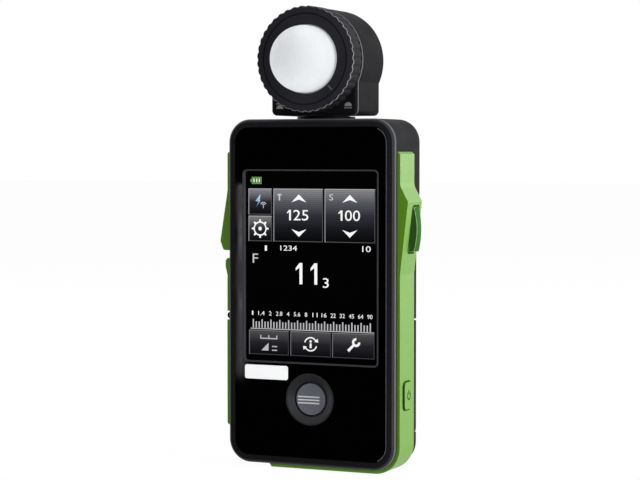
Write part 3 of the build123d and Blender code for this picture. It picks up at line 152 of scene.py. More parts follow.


# sizes in mm; drift: how far the roughness wanders; the colour given for bent edges is a painted
# highlight along them; lines: painted light and shade, the colours of facets that lean between
# two shares to the front
finishes = {
    # ABS from a spark-eroded mould: fine even sand grain, so highlights spread softly
    # the frame's bevel gets a painted highlight line and a paler painted facet where it turns towards the
    # light
    "grey_case": dict(name="mouldedAbsCase", dark="#19191b", light="#212123", grain=0.22,
        relief=0.03, edge=0.12, lines=[(0.69, 0.73, "#686b6b"), (0.54, 0.59, "#35333a")], cloud=7,
        rough=0.5, specular=0.02),
    # the head's front fillet gets a painted highlight band
    "head_grey": dict(name="mouldedAbsHead", dark="#151517", light="#1c1c1e", grain=0.24,
        relief=0.035, edge=0.12, lines=[(0.16, 0.42, "#707072")], cloud=6, rough=0.55,
        specular=0.02),
    # nylon of a turned grip: slightly waxy, with a painted highlight on its wavy rim and its front face
    # painted a touch lighter, as lit
    "ring_grey": dict(name="mouldedNylonRing", dark="#1b1b1e", light="#232327", grain=0.2,
        relief=0.02, edge=0.35, edgeHighlight="#d0d0d4", highlightDepths=(-7.29, -6.95),
        lines=[(0.96, 1.0, "#29292e")], cloud=5, rough=0.5, drift=0.06, specular=0.03),
    # acetal: dense, faintly waxy
    "neck_black": dict(name="acetalNeck", dark="#0c0c0e", light="#121214", grain=0.5, relief=0.004,
        cloud=4, rough=0.4, drift=0.06, specular=0.04),
    # cast acrylic, black from behind: deep gloss with the faintest handling haze
    "black_panel": dict(name="acrylicPanel", dark="#020202", light="#030304", grain=3,
        relief=0.001, edge=0.06, cloud=12, rough=0.06, drift=0.03, specular=0.35),
    # ink printed on acrylic: flat, with no sparkle
    "window_line": dict(name="screenPrintedLine", dark="#3a3a3e", light="#47474b", grain=0.3,
        relief=0.004, edge=0.08, cloud=6, rough=0.4, drift=0.08, specular=0.2),
    # the panel when it is dark: nearly black, a little hazy
    "display": dict(name="liquidCrystalPanel", dark="#030303", light="#050506", grain=0.3,
        relief=0.001, cloud=8, rough=0.3),
    # ABS coloured right through, with a satin grain that turns pale where light grazes it, and a painted
    # highlight along its edges
    "lime_trim": dict(name="mouldedAbsLime", dark="#56890c", light="#609514", grain=0.25,
        relief=0.025, edge=0.25, edgeHighlight="#a9d868", cloud=8, rough=0.38, specular=0.6),
    # its walls towards the front carry painted shade, its edges a painted highlight
    "dark_green": dict(name="mouldedRubberGreen", dark="#22520c", light="#2a6012", grain=0.2,
        relief=0.02, edge=0.35, edgeHighlight="#b5e08e", lines=[(0.6, 1.0, "#153a08")], cloud=4, rough=0.5,
        specular=0.05),
    # satin ABS of the key and its dish: soft highlights, no visible grain
    "menu_dish": dict(name="satinAbsDish", dark="#29292c", light="#323236", grain=0.2,
        relief=0.006, edge=0.12, cloud=5, rough=0.4, specular=0.3),
    "menu_face": dict(name="satinAbsKey", dark="#666873", light="#70727c", grain=0.22,
        relief=0.012, edge=0.1, cloud=3, rough=0.42),
    # vinyl film, with a painted glow that gives back a little more white than it is lit with
    "white_label": dict(name="vinylLabel", dark="#f6f8fa", light="#ffffff", grain=0.4,
        relief=0.003, cloud=5, rough=0.35, drift=0.06,
        sockets={"Emission Color": (1, 1, 1, 1), "Emission Strength": 0.3}),
    # inner parts of acetal and nylon: clean, with a slight gloss
    "carrier_white": dict(name="acetalSleeve", dark="#cfcfca", light="#d9d9d4", grain=0.6,
        relief=0.004, cloud=5, rough=0.35),
    "socket_cream": dict(name="nylonSocket", dark="#d8d0b4", light="#e2dac0", grain=0.4,
        relief=0.006, cloud=3, rough=0.45),
    # ABS left as moulded: dull
    "tray_black": dict(name="mouldedAbsInside", dark="#161618", light="#202022", grain=0.35,
        relief=0.02, cloud=6, rough=0.55, specular=0.2),
    # etched and varnished glass fibre board
    "board_green": dict(name="varnishedBoard", dark="#0f3a22", light="#17492c", grain=0.5,
        relief=0.004, cloud=6, rough=0.3, drift=0.08),
    # epoxy round a chip: dull and very fine
    "chip_black": dict(name="mouldedEpoxy", dark="#1a1a1c", light="#262628", grain=0.12,
        relief=0.008, cloud=2, rough=0.5, drift=0.08),
    # a dark lead sleeve, dull and slightly waxy
    "lead_rubber": dict(name="siliconeLead", dark="#171717", light="#202020", grain=0.3,
        relief=0.006, cloud=3, rough=0.45, drift=0.08),
    # drawn steel: an even, soft mirror
    "cell_skin": dict(name="drawnSteelCan", dark="#8d9095", light="#9da0a5", grain=0.4,
        relief=0.003, cloud=6, rough=0.25, drift=0.06, metal=1.0),
    # rolled steel: fine lines along the roll
    "steel_plate": dict(name="rolledSteel", dark="#8d8d8b", light="#a3a3a0", grain=0.25,
        relief=0.003, cloud=8, rough=0.34, drift=0.06, stretch=(0.05, 1, 1), metal=1.0),
    # tinned and zinc-plated steel: pale, with soft highlights
    "tin_can": dict(name="tinPlate", dark="#b4b4b0", light="#c4c4c0", grain=0.3, relief=0.002,
        cloud=4, rough=0.28, drift=0.06, metal=1.0),
    "screw_steel": dict(name="zincPlate", dark="#a5a7a8", light="#bbbdbe", grain=0.2, relief=0.003,
        cloud=2, rough=0.3, drift=0.07, metal=1.0),
    # oil-blackened steel: dark, with a dull gleam
    "screw_black": dict(name="blackenedSteel", dark="#3a3a3d", light="#4a4a4e", grain=0.15,
        relief=0.003, cloud=2, rough=0.35, drift=0.08, metal=1.0),
    # nickel: warmer and sharper than tin
    "spring_nickel": dict(name="nickelPlate", dark="#b9b4a8", light="#cbc6ba", grain=0.25,
        relief=0.002, cloud=3, rough=0.22, drift=0.06, metal=1.0),
    # turned metal: fine rings round its axis
    "bush_brass": dict(name="turnedBrass", dark="#b3924a", light="#c8a75e", grain=0.12,
        relief=0.004, cloud=3, rough=0.28, drift=0.06, stretch=(1, 6, 1), metal=1.0),
    "shaft_steel": dict(name="blackenedTurnedSteel", dark="#2a2a2c", light="#3a3a3c", grain=0.12,
        relief=0.003, cloud=4, rough=0.3, stretch=(1, 1, 6), metal=1.0),
    # silicon: dark blue and smooth
    "sensor_cell": dict(name="siliconCell", dark="#20253a", light="#2a3048", grain=1.2,
        relief=0.001, cloud=3, rough=0.15, drift=0.04),
    # opal acrylic: light goes in and comes out again, and a painted glow fills in its shade, so that the
    # dome has almost no shadow side
    "dome_white": dict(name="opalDome", dark="#a3a5a8", light="#abadaf", grain=0.5, relief=0.002,
        cloud=6, rough=0.6, drift=0.04, specular=0.25, sockets={"Subsurface Weight": 0.8,
        "Subsurface Scale": 0.005, "Subsurface Radius": (1.0, 1.0, 1.0),
        "Emission Color": (0.95, 0.97, 1.0, 1), "Emission Strength": 0.32}),
}

film = dict(grain=0.2, relief=0.004, cloud=2, rough=0.5, drift=0.08)
marks = {
    # screen-printing ink: a thin dull film that shows the grain below it
    "white": dict(film, name="printedWhite", dark="#d9dadd", light="#e6e7ea"),
    "grey": dict(film, name="printedGrey", dark="#8b8b8e", light="#9a9a9d"),
    "dull": dict(film, name="printedDullGrey", dark="#505054", light="#5c5c60"),
    # printed on the power key, and also the painted shade round the keys on the right trim
    "green": dict(film, name="printAndPaintedShadeGreen", dark="#1b3d02", light="#234a06", rough=0.6,
        specular=0.05),
    # used only as painted shade, in the ring round the menu key
    "black": dict(film, name="printedBlack", dark="#060607", light="#0b0b0d", rough=0.6,
        specular=0.05),
    # a painted highlight along the acrylic sheet's edge
    "polished": dict(name="paintedPanelEdgeHighlight", dark="#54626b", light="#64737c", grain=1.2,
        relief=0.002, cloud=5, rough=0.2, specular=0.2),
    # the lime of the trims on a key, with painted shade on its wall towards the front
    "cap": dict(name="mouldedAbsKeyCap", dark="#56890c", light="#609514", grain=0.25, relief=0.02,
        edge=0.12, lines=[(0.7, 1.0, "#1c4404")], cloud=4, rough=0.4, specular=0.6),
    # shrunk sleeve of a cell: smooth, with a soft sheen
    "sleeve": dict(name="shrunkSleeve", dark="#1f2b3c", light="#273548", grain=0.5, relief=0.004,
        cloud=5, rough=0.3, drift=0.06),
    "band": dict(name="sleeveBand", dark="#b9762f", light="#c98740", grain=0.4, relief=0.003,
        cloud=5, rough=0.3, drift=0.06, metal=0.7),
}


# clear and polished, with a trace of haze from handling; smears are this size in mm
def clearFinish(name, tint, ior, haze=0.03, smears=9):
    material = emptyMaterial(name)
    add = partial(addNode, material)
    smear = add("TexNoise", {"Scale": 1 / (smears * mm), "Detail": 5.0,
                             "Vector": (add("TexCoord"), "Object")})
    gloss = add("MapRange", {"To Max": haze, "Value": (smear, "Fac")})
    shader = add("BsdfPrincipled", {"Base Color": hexColour(tint), "Transmission Weight": 1.0,
                                    "IOR": ior, "Roughness": (gloss, "Result")})
    return withSurface(material, shader)


print("materials")
made = {slot: grainedFinish(look) for slot, look in finishes.items()}
# coated and bonded to the display, so it mirrors far less than bare glass
made["cover_glass"] = clearFinish("coatedGlass", "#ffffff", 1.12)
made["filter_glass"] = clearFinish("blueFilterGlass", "#a8c4d0", 1.52)
ink = {key: grainedFinish(look) for key, look in marks.items()}

for node in nodes.values():
    for materialSlot in node.material_slots:
        materialSlot.material = made[materialSlot.material.name.split(".")[0]]


def linked(name, data):
    holder = bpy.data.objects.new(name, data)
    bpy.context.scene.collection.objects.link(holder)
    return holder


def pieceFrom(work, name, material, body):
    bmesh.ops.recalc_face_normals(work, faces=work.faces)
    mesh = bpy.data.meshes.new(name)
    work.to_mesh(mesh)
    work.free()
    mesh.materials.append(material)
    piece = linked(name, mesh)
    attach(piece, body)
    return piece


# the mesh that an object shows, with its text or modifiers worked out
def shownMesh(holder):
    bpy.context.view_layer.update()
    graph = bpy.context.evaluated_depsgraph_get()
    return bpy.data.meshes.new_from_object(holder.evaluated_get(graph))


# a node's lowest corner, highest corner and middle, in mm
def boxOf(name):
    low, high = (Vector(corner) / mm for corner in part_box(name))
    return low, high, (low + high) / 2


# how a flat mark's (across, up, depth) becomes a place; all in mm
def onFront(across, up, depth):
    return across, depth, up


def onRight(across, up, depth):
    return depth, across, up


# flat marks drawn as outlines, as thin closed slips between two depths
def printedMarks(name, shapes, near, far, material, body, place=onFront):
    work = bmesh.new()
    for shape in shapes:
        front = [work.verts.new(Vector(place(u, v, near)) * mm) for u, v in shape]
        back = [work.verts.new(Vector(place(u, v, far)) * mm) for u, v in shape]
        work.faces.new(front)
        work.faces.new(list(reversed(back)))
        for i in range(len(shape)):
            work.faces.new((front[i], front[i - 1], back[i - 1], back[i]))
    return pieceFrom(work, name, material, body)


def bar(x0, x1, z0, z1):
    return [(x0, z0), (x1, z0), (x1, z1), (x0, z1)]


# round a rectangle with round corners, nine points to each, from its right side over the top
def roundedPath(cx, cz, w, h, r, steps=8):
    points = []
    for quarter, (sx, sz) in enumerate(((1, 1), (-1, 1), (-1, -1), (1, -1))):
        for i in range(steps + 1):
            a = radians(90 * quarter + 90 * i / steps)
            points.append((cx + sx * (w / 2 - r) + r * cos(a), cz + sz * (h / 2 - r) + r * sin(a)))
    return points


# quads between two closed outlines, along their points from one number up to another
def bandBetween(inner, outer, start, stop):
    steps = [i % len(inner) for i in range(start, stop)]
    return [[inner[i], outer[i], outer[j], inner[j]] for i, j in zip(steps, steps[1:])]


# quads that make part of a ring; angles in degrees
def arcBand(cx, cz, inner, outer, start, end, count):
    turns = [radians(start + (end - start) * i / count) for i in range(count + 1)]
    shapes = []
    for a, b in zip(turns, turns[1:]):
        quad = [(cx + r * cos(t), cz + r * sin(t))
                for r, t in ((inner, a), (outer, a), (outer, b), (inner, b))]
        shapes.append(list(dict.fromkeys(quad)))
    return shapes


# points given outwards and across, turned about a centre by an angle in degrees
def fanned(cx, cz, angle, points):
    a = radians(angle)
    return [(cx + r * cos(a) - o * sin(a), cz + r * sin(a) + o * cos(a)) for r, o in points]


# a body of revolution along Y or X; the profile is (radius, along) in mm, from axis to axis
def turned(work, profile, centre, along="y", count=32, wobble=None):
    rings = []
    for r, s in profile:
        ring = []
        for i in range(count if r > 0 else 1):
            a = 2 * pi * i / count
            reach = r + (wobble(r, s, a) if wobble else 0)
            u, v = reach * cos(a), reach * sin(a)
            x, y, z = centre
            spot = (x + u, y + s, z + v) if along == "y" else (x + s, y + u, z + v)
            ring.append(work.verts.new(Vector(spot) * mm))
        rings.append(ring)
    for first, second in zip(rings, rings[1:]):
        for i in range(count):
            j = (i + 1) % count
            quad = [first[i % len(first)], first[j % len(first)],
                    second[j % len(second)], second[i % len(second)]]
            corners = list(dict.fromkeys(quad))
            if len(corners) > 2:
                work.faces.new(corners)


# a wire of round section along a path of points in mm
def bentWire(work, path, r, count=8):
    points = [Vector(p) for p in path]
    rings = []
    for i, point in enumerate(points):
        ahead, behind = points[min(i + 1, len(points) - 1)], points[max(i - 1, 0)]
        heading = (ahead - behind).normalized()
        side = heading.cross(Vector((1, 0, 0)))
        side = (side if side.length > 0.1 else heading.cross(Vector((0, 1, 0)))).normalized()
        up = heading.cross(side)
        rings.append([work.verts.new((point + (side * cos(a) + up * sin(a)) * r) * mm)
                      for a in (2 * pi * k / count for k in range(count))])
    for first, second in zip(rings, rings[1:]):
        for k in range(count):
            work.faces.new((first[k - 1], first[k], second[k], second[k - 1]))
    work.faces.new(list(reversed(rings[0])))
    work.faces.new(rings[-1])


# the separate solids of a CAD node, as (lowest corner, highest corner) in mm
def islands(name):
    work = bmesh.new()
    work.from_mesh(nodes[name].data)
    bmesh.ops.remove_doubles(work, verts=work.verts, dist=1e-7)
    left, found = set(work.verts), []
    while left:
        reach, group = [left.pop()], []
        while reach:
            vertex = reach.pop()
            group.append(vertex.co / mm)
            for edge in vertex.link_edges:
                other = edge.other_vert(vertex)
                if other in left:
                    left.remove(other)
                    reach.append(other)
        found.append([Vector([pick(p[i] for p in group) for i in range(3)]) for pick in (min, max)])
    work.free()
    return sorted(found, key=lambda ends: tuple(round(c, 2) for c in ends[0]))


# a lit part of the display: colours run upwards between two heights in mm, with pixel rows
def litFinish(name, colours, low=30, high=90, rowPitch=0.0, rowDark=0.72):
    material = emptyMaterial(name)
    add = partial(addNode, material)
    split = add("SeparateXYZ", {"Vector": (add("TexCoord"), "Object")})
    climb = add("MapRange", {"From Min": low * mm, "From Max": high * mm, "Value": (split, "Z")})
    tone = add("ValToRGB", {"Fac": (climb, "Result")})
    stops = tone.color_ramp.elements
    while len(stops) < len(colours):
        stops.new(0.5)
    for i, colour in enumerate(colours):       # spread evenly from the bottom to the top
        stops[i].position = i / (len(colours) - 1)
        stops[i].color = hexColour(colour)
    glow = (tone, "Color")
    if rowPitch:
        wave = add("Math", {0: (split, "Z"), 1: 2 * pi / (rowPitch * mm)}, operation="MULTIPLY")
        swing = add("Math", {0: (wave, "Value")}, operation="SINE")
        level = add("MapRange", {"From Min": -1.0, "To Min": rowDark, "Value": (swing, "Value")})
        dimmed = add("VectorMath", {0: glow, 1: (level, "Result")}, operation="MULTIPLY")
        glow = (dimmed, "Vector")
    shader = add("BsdfPrincipled", {
        "Base Color": hexColour("#000000"), "Roughness": 0.5, "Specular IOR Level": 0.0,
        "Emission Strength": 1.0, "Emission Color": glow})
    return withSurface(material, shader)


# the picture on the display; places are (left, right, low, high) in mm, as seen from the front
display = dict(
    sheet=0.03, film=0.01,                     # pitch and thickness of the layers behind the glass
    field=(-22.3, 22.3, 32.3, 90.9),
    line=0.22,                                 # width of the tiles' edge lines
    row=0.62,                                  # pitch of the pixel rows
    tiles=dict(
        time=(-12.97, 3.5, 69.1, 85.2), speed=(4.1, 20.55, 69.1, 85.2),
        flash=(-21.45, -13.55, 77.25, 85.2), gear=(-21.45, -13.55, 69.1, 76.85),
        lowLeft=(-21.3, -7.9, 34.35, 41.85), lowMid=(-7.3, 6.15, 34.35, 41.85),
        lowRight=(6.6, 20.35, 34.35, 41.85)),
    arrows=dict(middles=(-4.45, 12.35), half=2.45, dent=0.36,
                baseAndTip=((81.1, 83.5), (72.95, 70.6))),
    scale=dict(start=-19.85, pitch=0.997, count=40, half=0.2, low=42.5, tall=45.15, short=44.45,
               base=(-20.8, 20.3, 42.15, 42.4)),
    # stops under the scale: the width of a digit, what a point saves of it, half of a lone one
    stops=dict(start=-20.08, pitch=2.998, low=46.4, high=47.68, digit=0.84, point=0.45, one=0.22,
               texts=("1", "1.4", "2", "2.8", "4", "5.6", "8", "11", "16", "22", "32", "45", "64",
                      "90")),
    figures=[("25", (-6.3, -1.3, 75.6, 78.8)), ("00", (10.75, 15.68, 75.65, 78.85)),
             ("3", (3.48, 5.45, 55.35, 58.3)), ("10", (16.4, 19.15, 66.45, 68.2)),
             ("1", (-15.9, -15.2, 66.2, 67.8)), ("1234", (-10.65, -5.1, 66.35, 67.9))],
    letters=[("F", (-20.05, -18.2, 62.4, 65.25)), ("S", (5.6, 6.9, 81.75, 83.65))],
    letterT=[(-11.62, -10.3, 83.12, 83.6), (-11.19, -10.73, 81.6, 83.12)],
    # large ones, each with the width of its stem
    ones=[(-5.5, -3.3, 56.25, 62.7, 0.95), (-0.55, 1.65, 56.25, 62.7, 0.95),
          (-8.4, -7.1, 75.6, 78.8, 0.6), (8.62, 9.95, 75.7, 78.8, 0.6)],
    flag=(0.24, 0.36, 0.1, 0.22),              # where its corners lie, down the height of a one
    battery=dict(can=(-20.3, -17.0, 86.6, 88.72), rim=0.22, nub=(-20.75, -20.3, 87.25, 88.07),
                 cells=(-19.8, -18.9, -18.0), cell=0.5, cellLow=87.05, cellHigh=88.27),
    bolt=[[(-17.35, 83.5), (-19.1, 81.35), (-18.05, 81.2)],
          [(-17.35, 83.5), (-18.05, 81.2), (-17.6, 81.45)],
          [(-18.05, 81.2), (-18.85, 79.5), (-17.2, 81.75)],
          [(-17.6, 81.45), (-18.05, 81.2), (-17.2, 81.75)]],
    waves=dict(at=(-16.4, 80.0), reach=(25, 155), arcs=((0.9, 1.12, 10), (0.4, 0.62, 8)),
               mast=(-16.5, -16.3, 79.2, 80.2)),
    gear=dict(at=(-17.5, 72.95), rim=(1.8, 2.2), hub=0.6, teeth=8,
              tooth=[(2.15, -0.36), (2.85, -0.24), (2.85, 0.24), (2.15, 0.36)]),
    swap=dict(at=(-0.55, 38.1), ring=(1.8, 2.2), arc=(35, 165),
              tip=[(1.2, 0.75), (2.55, 0.6), (2.3, 1.75)],
              stroke=(-0.87, -0.23, 36.95, 38.35), dotAt=(-0.55, 38.95), dot=0.38),
    wrench=dict(at=(14.45, 39.2), jaw=(0.62, 1.35, 87, 363, 20), lean=225,
                handle=[(1.1, 0.36), (3.75, 0.42), (3.75, -0.42), (1.1, -0.36)]),
    average=[(-17.5, -11.7, 39.15, 39.5), (-17.5, -17.15, 39.5, 40.3), (-14.78, -14.42, 39.5, 40.3),
             (-12.05, -11.7, 39.5, 40.3), (-13.5, -11.8, 36.75, 37.1), (-13.5, -11.8, 35.6, 35.95)],
    averageSlope=[(-17.1, 35.6), (-14.7, 35.6), (-14.7, 38.0)],
)
print("display")
tiles = display["tiles"]
glassBack = boxOf("touch_panel")[1].y
layer = [glassBack - display["sheet"] * (i + 1) for i in range(4)]     # 0 is the deepest
lit = {
    "white": litFinish("litWhite", ["#f4f4f6", "#ffffff"]),
    "soft": litFinish("litGrey", ["#b9b9bc", "#cfcfd2"]),
    "dim": litFinish("litDimLine", ["#3c3d40", "#58585c"]),
    "edge": litFinish("litEdgeLine", ["#66666a", "#b0b0b2"], 30, 86),
    "pale": litFinish("litPaleGreen", ["#b4dc9a", "#d5efc4"], 80, 90),
    "rim": litFinish("litMidGreen", ["#5c9a44", "#76b05e"], 80, 90),
    "leaf": litFinish("litLeafGreen", ["#173a0c", "#234e14"], 80, 90),
    "blue": litFinish("litBlue", ["#3f86c8", "#c4e2f4"], 79.4, 83.6),
    "black": litFinish("unlitField", ["#020203", "#030304"]),
    "tile": litFinish("litTile", ["#08080a", "#1a1b1f", "#33333b", "#5b5d64", "#8e8e92"],
                      *tiles["time"][2:], display["row"]),
    "flash": litFinish("litSmallTileUpper", ["#09090b", "#2a2c31", "#8f8e98"],
                       *tiles["flash"][2:], display["row"]),
    "gear": litFinish("litSmallTileLower", ["#09090b", "#2a2c31", "#858487"],
                      *tiles["gear"][2:], display["row"]),
    "low": litFinish("litLowTile", ["#0b0b0e", "#25242a", "#545456"],
                     *tiles["lowLeft"][2:], display["row"]),
}


def onScreen(name, shapes, depth, colour):
    printedMarks(name, shapes, layer[depth], layer[depth] + display["film"], lit[colour],
                 "case")


# numbers set in a plain face, each fitted into its own (x0, x1, z0, z1) in mm
def wordsOnScreen(name, words, colour):
    near, far = layer[3], layer[3] + display["film"]
    whole = bmesh.new()
    for text, (x0, x1, z0, z1) in words:
        curve = bpy.data.curves.new(name, "FONT")
        curve.body = text
        curve.resolution_u = 3
        curve.extrude = 0.5                    # any depth, since the points go to near or far
        holder = linked(name, curve)
        mesh = shownMesh(holder)
        bpy.data.objects.remove(holder)
        xs = [v.co.x for v in mesh.vertices]
        ys = [v.co.y for v in mesh.vertices]
        left, low = min(xs), min(ys)
        wide, high = max(xs) - left, max(ys) - low
        for v in mesh.vertices:
            x = x0 + (v.co.x - left) / wide * (x1 - x0)
            z = z0 + (v.co.y - low) / high * (z1 - z0)
            v.co = Vector((x, near if v.co.z > 0 else far, z)) * mm
        whole.from_mesh(mesh)
        bpy.data.meshes.remove(mesh)
    bmesh.ops.remove_doubles(whole, verts=whole.verts, dist=1e-7)
    pieceFrom(whole, name, lit[colour], "case")


onScreen("display_field", [bar(*display["field"])], 0, "black")
onScreen("display_time_and_speed_tiles", [bar(*tiles["time"]), bar(*tiles["speed"])], 1, "tile")
onScreen("display_flash_tile", [bar(*tiles["flash"])], 1, "flash")
onScreen("display_gear_tile", [bar(*tiles["gear"])], 1, "gear")
onScreen("display_low_tiles", [bar(*tiles[key]) for key in ("lowLeft", "lowMid", "lowRight")],
         1, "low")
line = display["line"]
edges, shadows = [], []
for x0, x1, z0, z1 in tiles.values():
    edges += [bar(x0, x1, z1 - line, z1), bar(x0, x0 + line, z0, z1 - line)]
    shadows += [bar(x0 + line, x1, z0, z0 + line), bar(x1 - line, x1, z0 + line, z1 - line)]
onScreen("display_tile_edges", edges, 2, "edge")
onScreen("display_tile_shadows", shadows, 2, "dim")

look, shapes = display["arrows"], []
for x in look["middles"]:
    for base, tip in look["baseAndTip"]:
        dent = base + (tip - base) * look["dent"]
        shapes += [[(x - look["half"], base), (x, dent), (x, tip)],
                   [(x + look["half"], base), (x, tip), (x, dent)]]
onScreen("display_arrows", shapes, 3, "white")

look, shapes = display["scale"], []
for i in range(look["count"]):
    x = look["start"] + i * look["pitch"]
    top = look["tall"] if i % 3 == 0 else look["short"]
    shapes.append(bar(x - look["half"], x + look["half"], look["low"], top))
shapes.append(bar(*look["base"]))
onScreen("display_scale_bars", shapes, 3, "soft")

look, words = display["stops"], []
for i, text in enumerate(look["texts"]):
    half = look["digit"] * (len(text) - look["point"] * text.count(".")) / 2
    half = look["one"] if text == "1" else half
    x = look["start"] + i * look["pitch"]
    words.append((text, (x - half, x + half, look["low"], look["high"])))
wordsOnScreen("display_numbers", words + display["figures"], "white")
onScreen("display_letter_t", [bar(*part) for part in display["letterT"]], 3, "soft")
wordsOnScreen("display_letters", display["letters"], "soft")


# a one with a stem and a sloping flag
def digitOne(x0, x1, z0, z1, stem):
    tip, under, upper, lower = (z1 - (z1 - z0) * share for share in display["flag"])
    root = x1 - stem
    return [bar(root, x1, z0, z1), [(x0, tip), (root, upper), (root, z1)],
            [(x0, tip), (x0, under), (root, lower)], [(x0, tip), (root, lower), (root, upper)]]


shapes = []
for one in display["ones"]:
    shapes += digitOne(*one)
onScreen("display_ones", shapes, 3, "white")

look = display["battery"]
x0, x1, z0, z1 = look["can"]
rim = look["rim"]
shapes = [bar(x0, x1, z1 - rim, z1), bar(x0, x1, z0, z0 + rim), bar(*look["nub"])]
shapes += [bar(x, x + rim, z0 + rim, z1 - rim) for x in (x1 - rim, x0)]
onScreen("display_battery_field", [bar(*look["can"])], 1, "leaf")
onScreen("display_battery", shapes, 3, "rim")
onScreen("display_battery_charge", [bar(x, x + look["cell"], look["cellLow"], look["cellHigh"])
                                    for x in look["cells"]], 3, "pale")
onScreen("display_bolt", display["bolt"], 3, "blue")

look, shapes = display["waves"], []
for inner, outer, count in look["arcs"]:
    shapes += arcBand(*look["at"], inner, outer, *look["reach"], count)
onScreen("display_waves", shapes + [bar(*look["mast"])], 3, "soft")

look = display["gear"]
shapes = arcBand(*look["at"], *look["rim"], 0, 360, 40)
for i in range(look["teeth"]):
    shapes.append(fanned(*look["at"], i * 360 / look["teeth"], look["tooth"]))
shapes += arcBand(*look["at"], 0, look["hub"], 0, 360, 24)
onScreen("display_gear", shapes, 3, "white")

look, shapes = display["swap"], []
for turn in (0, 180):                          # the two arrows chase each other
    start, end = look["arc"]
    shapes += arcBand(*look["at"], *look["ring"], start + turn, end + turn, 16)
    shapes.append(fanned(*look["at"], turn, look["tip"]))
shapes.append(bar(*look["stroke"]))
shapes += arcBand(*look["dotAt"], 0, look["dot"], 0, 360, 12)
onScreen("display_swap_mark", shapes, 3, "white")

look = display["wrench"]
shapes = arcBand(*look["at"], *look["jaw"])
shapes.append(fanned(*look["at"], look["lean"], look["handle"]))
onScreen("display_wrench", shapes, 3, "white")
onScreen("display_average_mark", [bar(*part) for part in display["average"]]
         + [display["averageSlope"]], 3, "soft")


# marks on the case and head, in mm; lift is how far a film stands out of its face
fronts = dict(
    menuBars=dict(left=-4.3, right=2.75, heights=(20.25, 21.2, 22.15), thick=0.42, parts=14,
                  lift=0.03, sunk=0.01),
    menuRim=dict(inner=4.8, outer=5.08, parts=64, lift=0.03, sunk=0.01),
    # part: which points of the rounded outline are drawn, here those of its right side
    panelEdge=dict(width=0.24, corner=4.75, lift=0.012, part=(29, 43)),
    headIcons=dict(z=110.35, dome=1.2, line=0.24, lift=0.02),
    # base of the half dome and the (left, right, height) of its line, from the icon's own middle
    iconKinds={"head_icon_dome_in": dict(x=-11.3, base=-0.9, rule=(-1.25, -0.1, 0.6)),
               "head_icon_dome_out": dict(x=11.3, base=-0.3, rule=(-1.25, 1.25, -0.8))},
    index=dict(angle=-46, inner=11.05, outer=12.95, half=0.22, lift=0.02),
    power=dict(proud=0.5, beside=5, root=0.1, flange=0.75, corner=1.35, ring=1.4, line=0.5, gap=40,
               stroke=(0.3, 1.75), lift=0.02),
    # here part leaves out the side towards the back
    powerGap=dict(width=6.84, height=8.44, corner=1.5, side=0.45, end=0.3, lift=0.02, part=(8, 28)),
    wellGap=dict(width=5.84, height=14.04, corner=1.0, side=0.6, end=0.35, lift=0.02, part=(8, 28)),
    doorArrow=dict(z=32.6, half=2.6, tall=2.2, thick=0.9, lift=0.05),
)
inFront, toTheRight = -0.02, 0.05              # metres, clear of the part
print("marks")
look, shapes = fronts["menuBars"], []
steps = [look["left"] + (look["right"] - look["left"]) * i / look["parts"]
         for i in range(look["parts"] + 1)]
for z in look["heights"]:
    low, high = z - look["thick"] / 2, z + look["thick"] / 2
    shapes.append([(x, low) for x in steps] + [(x, high) for x in reversed(steps)])
glyph = printedMarks("menu_button_glyph", shapes, -look["lift"], look["sunk"], ink["white"],
                     "menu key")
# a painted shade ring on the rim of the menu key, where the gap to its dish lies in shade
look = fronts["menuRim"]
shapes = arcBand(0, boxOf("menu_button")[2].z, look["inner"], look["outer"], 0, 360, look["parts"])
rimShade = printedMarks("menu_button_rim_shade", shapes, -look["lift"], look["sunk"], ink["black"],
                        "menu key")
for piece in (glyph, rimShade):                # both follow the dish of the button
    for vertex in piece.data.vertices:
        start = (vertex.co.x, inFront, vertex.co.z)
        vertex.co.y += nodes["menu_button"].ray_cast(start, (0, 1, 0))[1].y

# a painted highlight line along the right edge of the black panel
look = fronts["panelEdge"]
low, high, middle = boxOf("front_panel")
wide, tall, width = high.x - low.x, high.z - low.z, look["width"]
outer = roundedPath(0, middle.z, wide, tall, look["corner"])
inner = roundedPath(0, middle.z, wide - 2 * width, tall - 2 * width, look["corner"] - width)
printedMarks("panel_edge_painted_highlight", bandBetween(inner, outer, *look["part"]), low.y - look["lift"],
             low.y + look["lift"], ink["polished"], "case")

look = fronts["headIcons"]
headFront = boxOf("head_housing")[0].y
for name, kind in fronts["iconKinds"].items():
    shapes = arcBand(kind["x"], look["z"] + kind["base"], 0, look["dome"], 0, 180, 24)
    left, right, height = kind["rule"]
    shapes.append(bar(kind["x"] + left, kind["x"] + right, look["z"] + height - look["line"] / 2,
                      look["z"] + height + look["line"] / 2))
    printedMarks(name, shapes, headFront - look["lift"], headFront + look["lift"], ink["grey"],
                 "head")

look = fronts["index"]
low, _, middle = boxOf("dome_ring")
stroke = bar(look["inner"], look["outer"], -look["half"], look["half"])
printedMarks("ring_index_mark", [fanned(0, middle.z, look["angle"], stroke)],
             low.y - look["lift"], low.y + look["lift"], ink["dull"], "ring")

look = fronts["power"]
low, high, power = boxOf("power_button")
trim = nodes["side_trim_right"]
start = (toTheRight, (power.y - look["beside"]) * mm, power.z * mm)
capX = trim.ray_cast(start, (-1, 0, 0))[1].x / mm + look["proud"]
cap = roundedPath(power.y, power.z, high.y - low.y - 2 * look["flange"],
                  high.z - low.z - 2 * look["flange"], look["corner"])
printedMarks("power_button_cap", [cap], capX, high.x - look["root"], ink["cap"],
             "power key", onRight)
shapes = arcBand(power.y, power.z, look["ring"] - look["line"], look["ring"],
                 90 + look["gap"], 450 - look["gap"], 26)
shapes.append(bar(power.y - look["line"] / 2, power.y + look["line"] / 2,
                  *(power.z + height for height in look["stroke"])))
printedMarks("power_button_symbol", shapes, capX + look["lift"], capX - look["lift"], ink["green"],
             "power key", onRight)
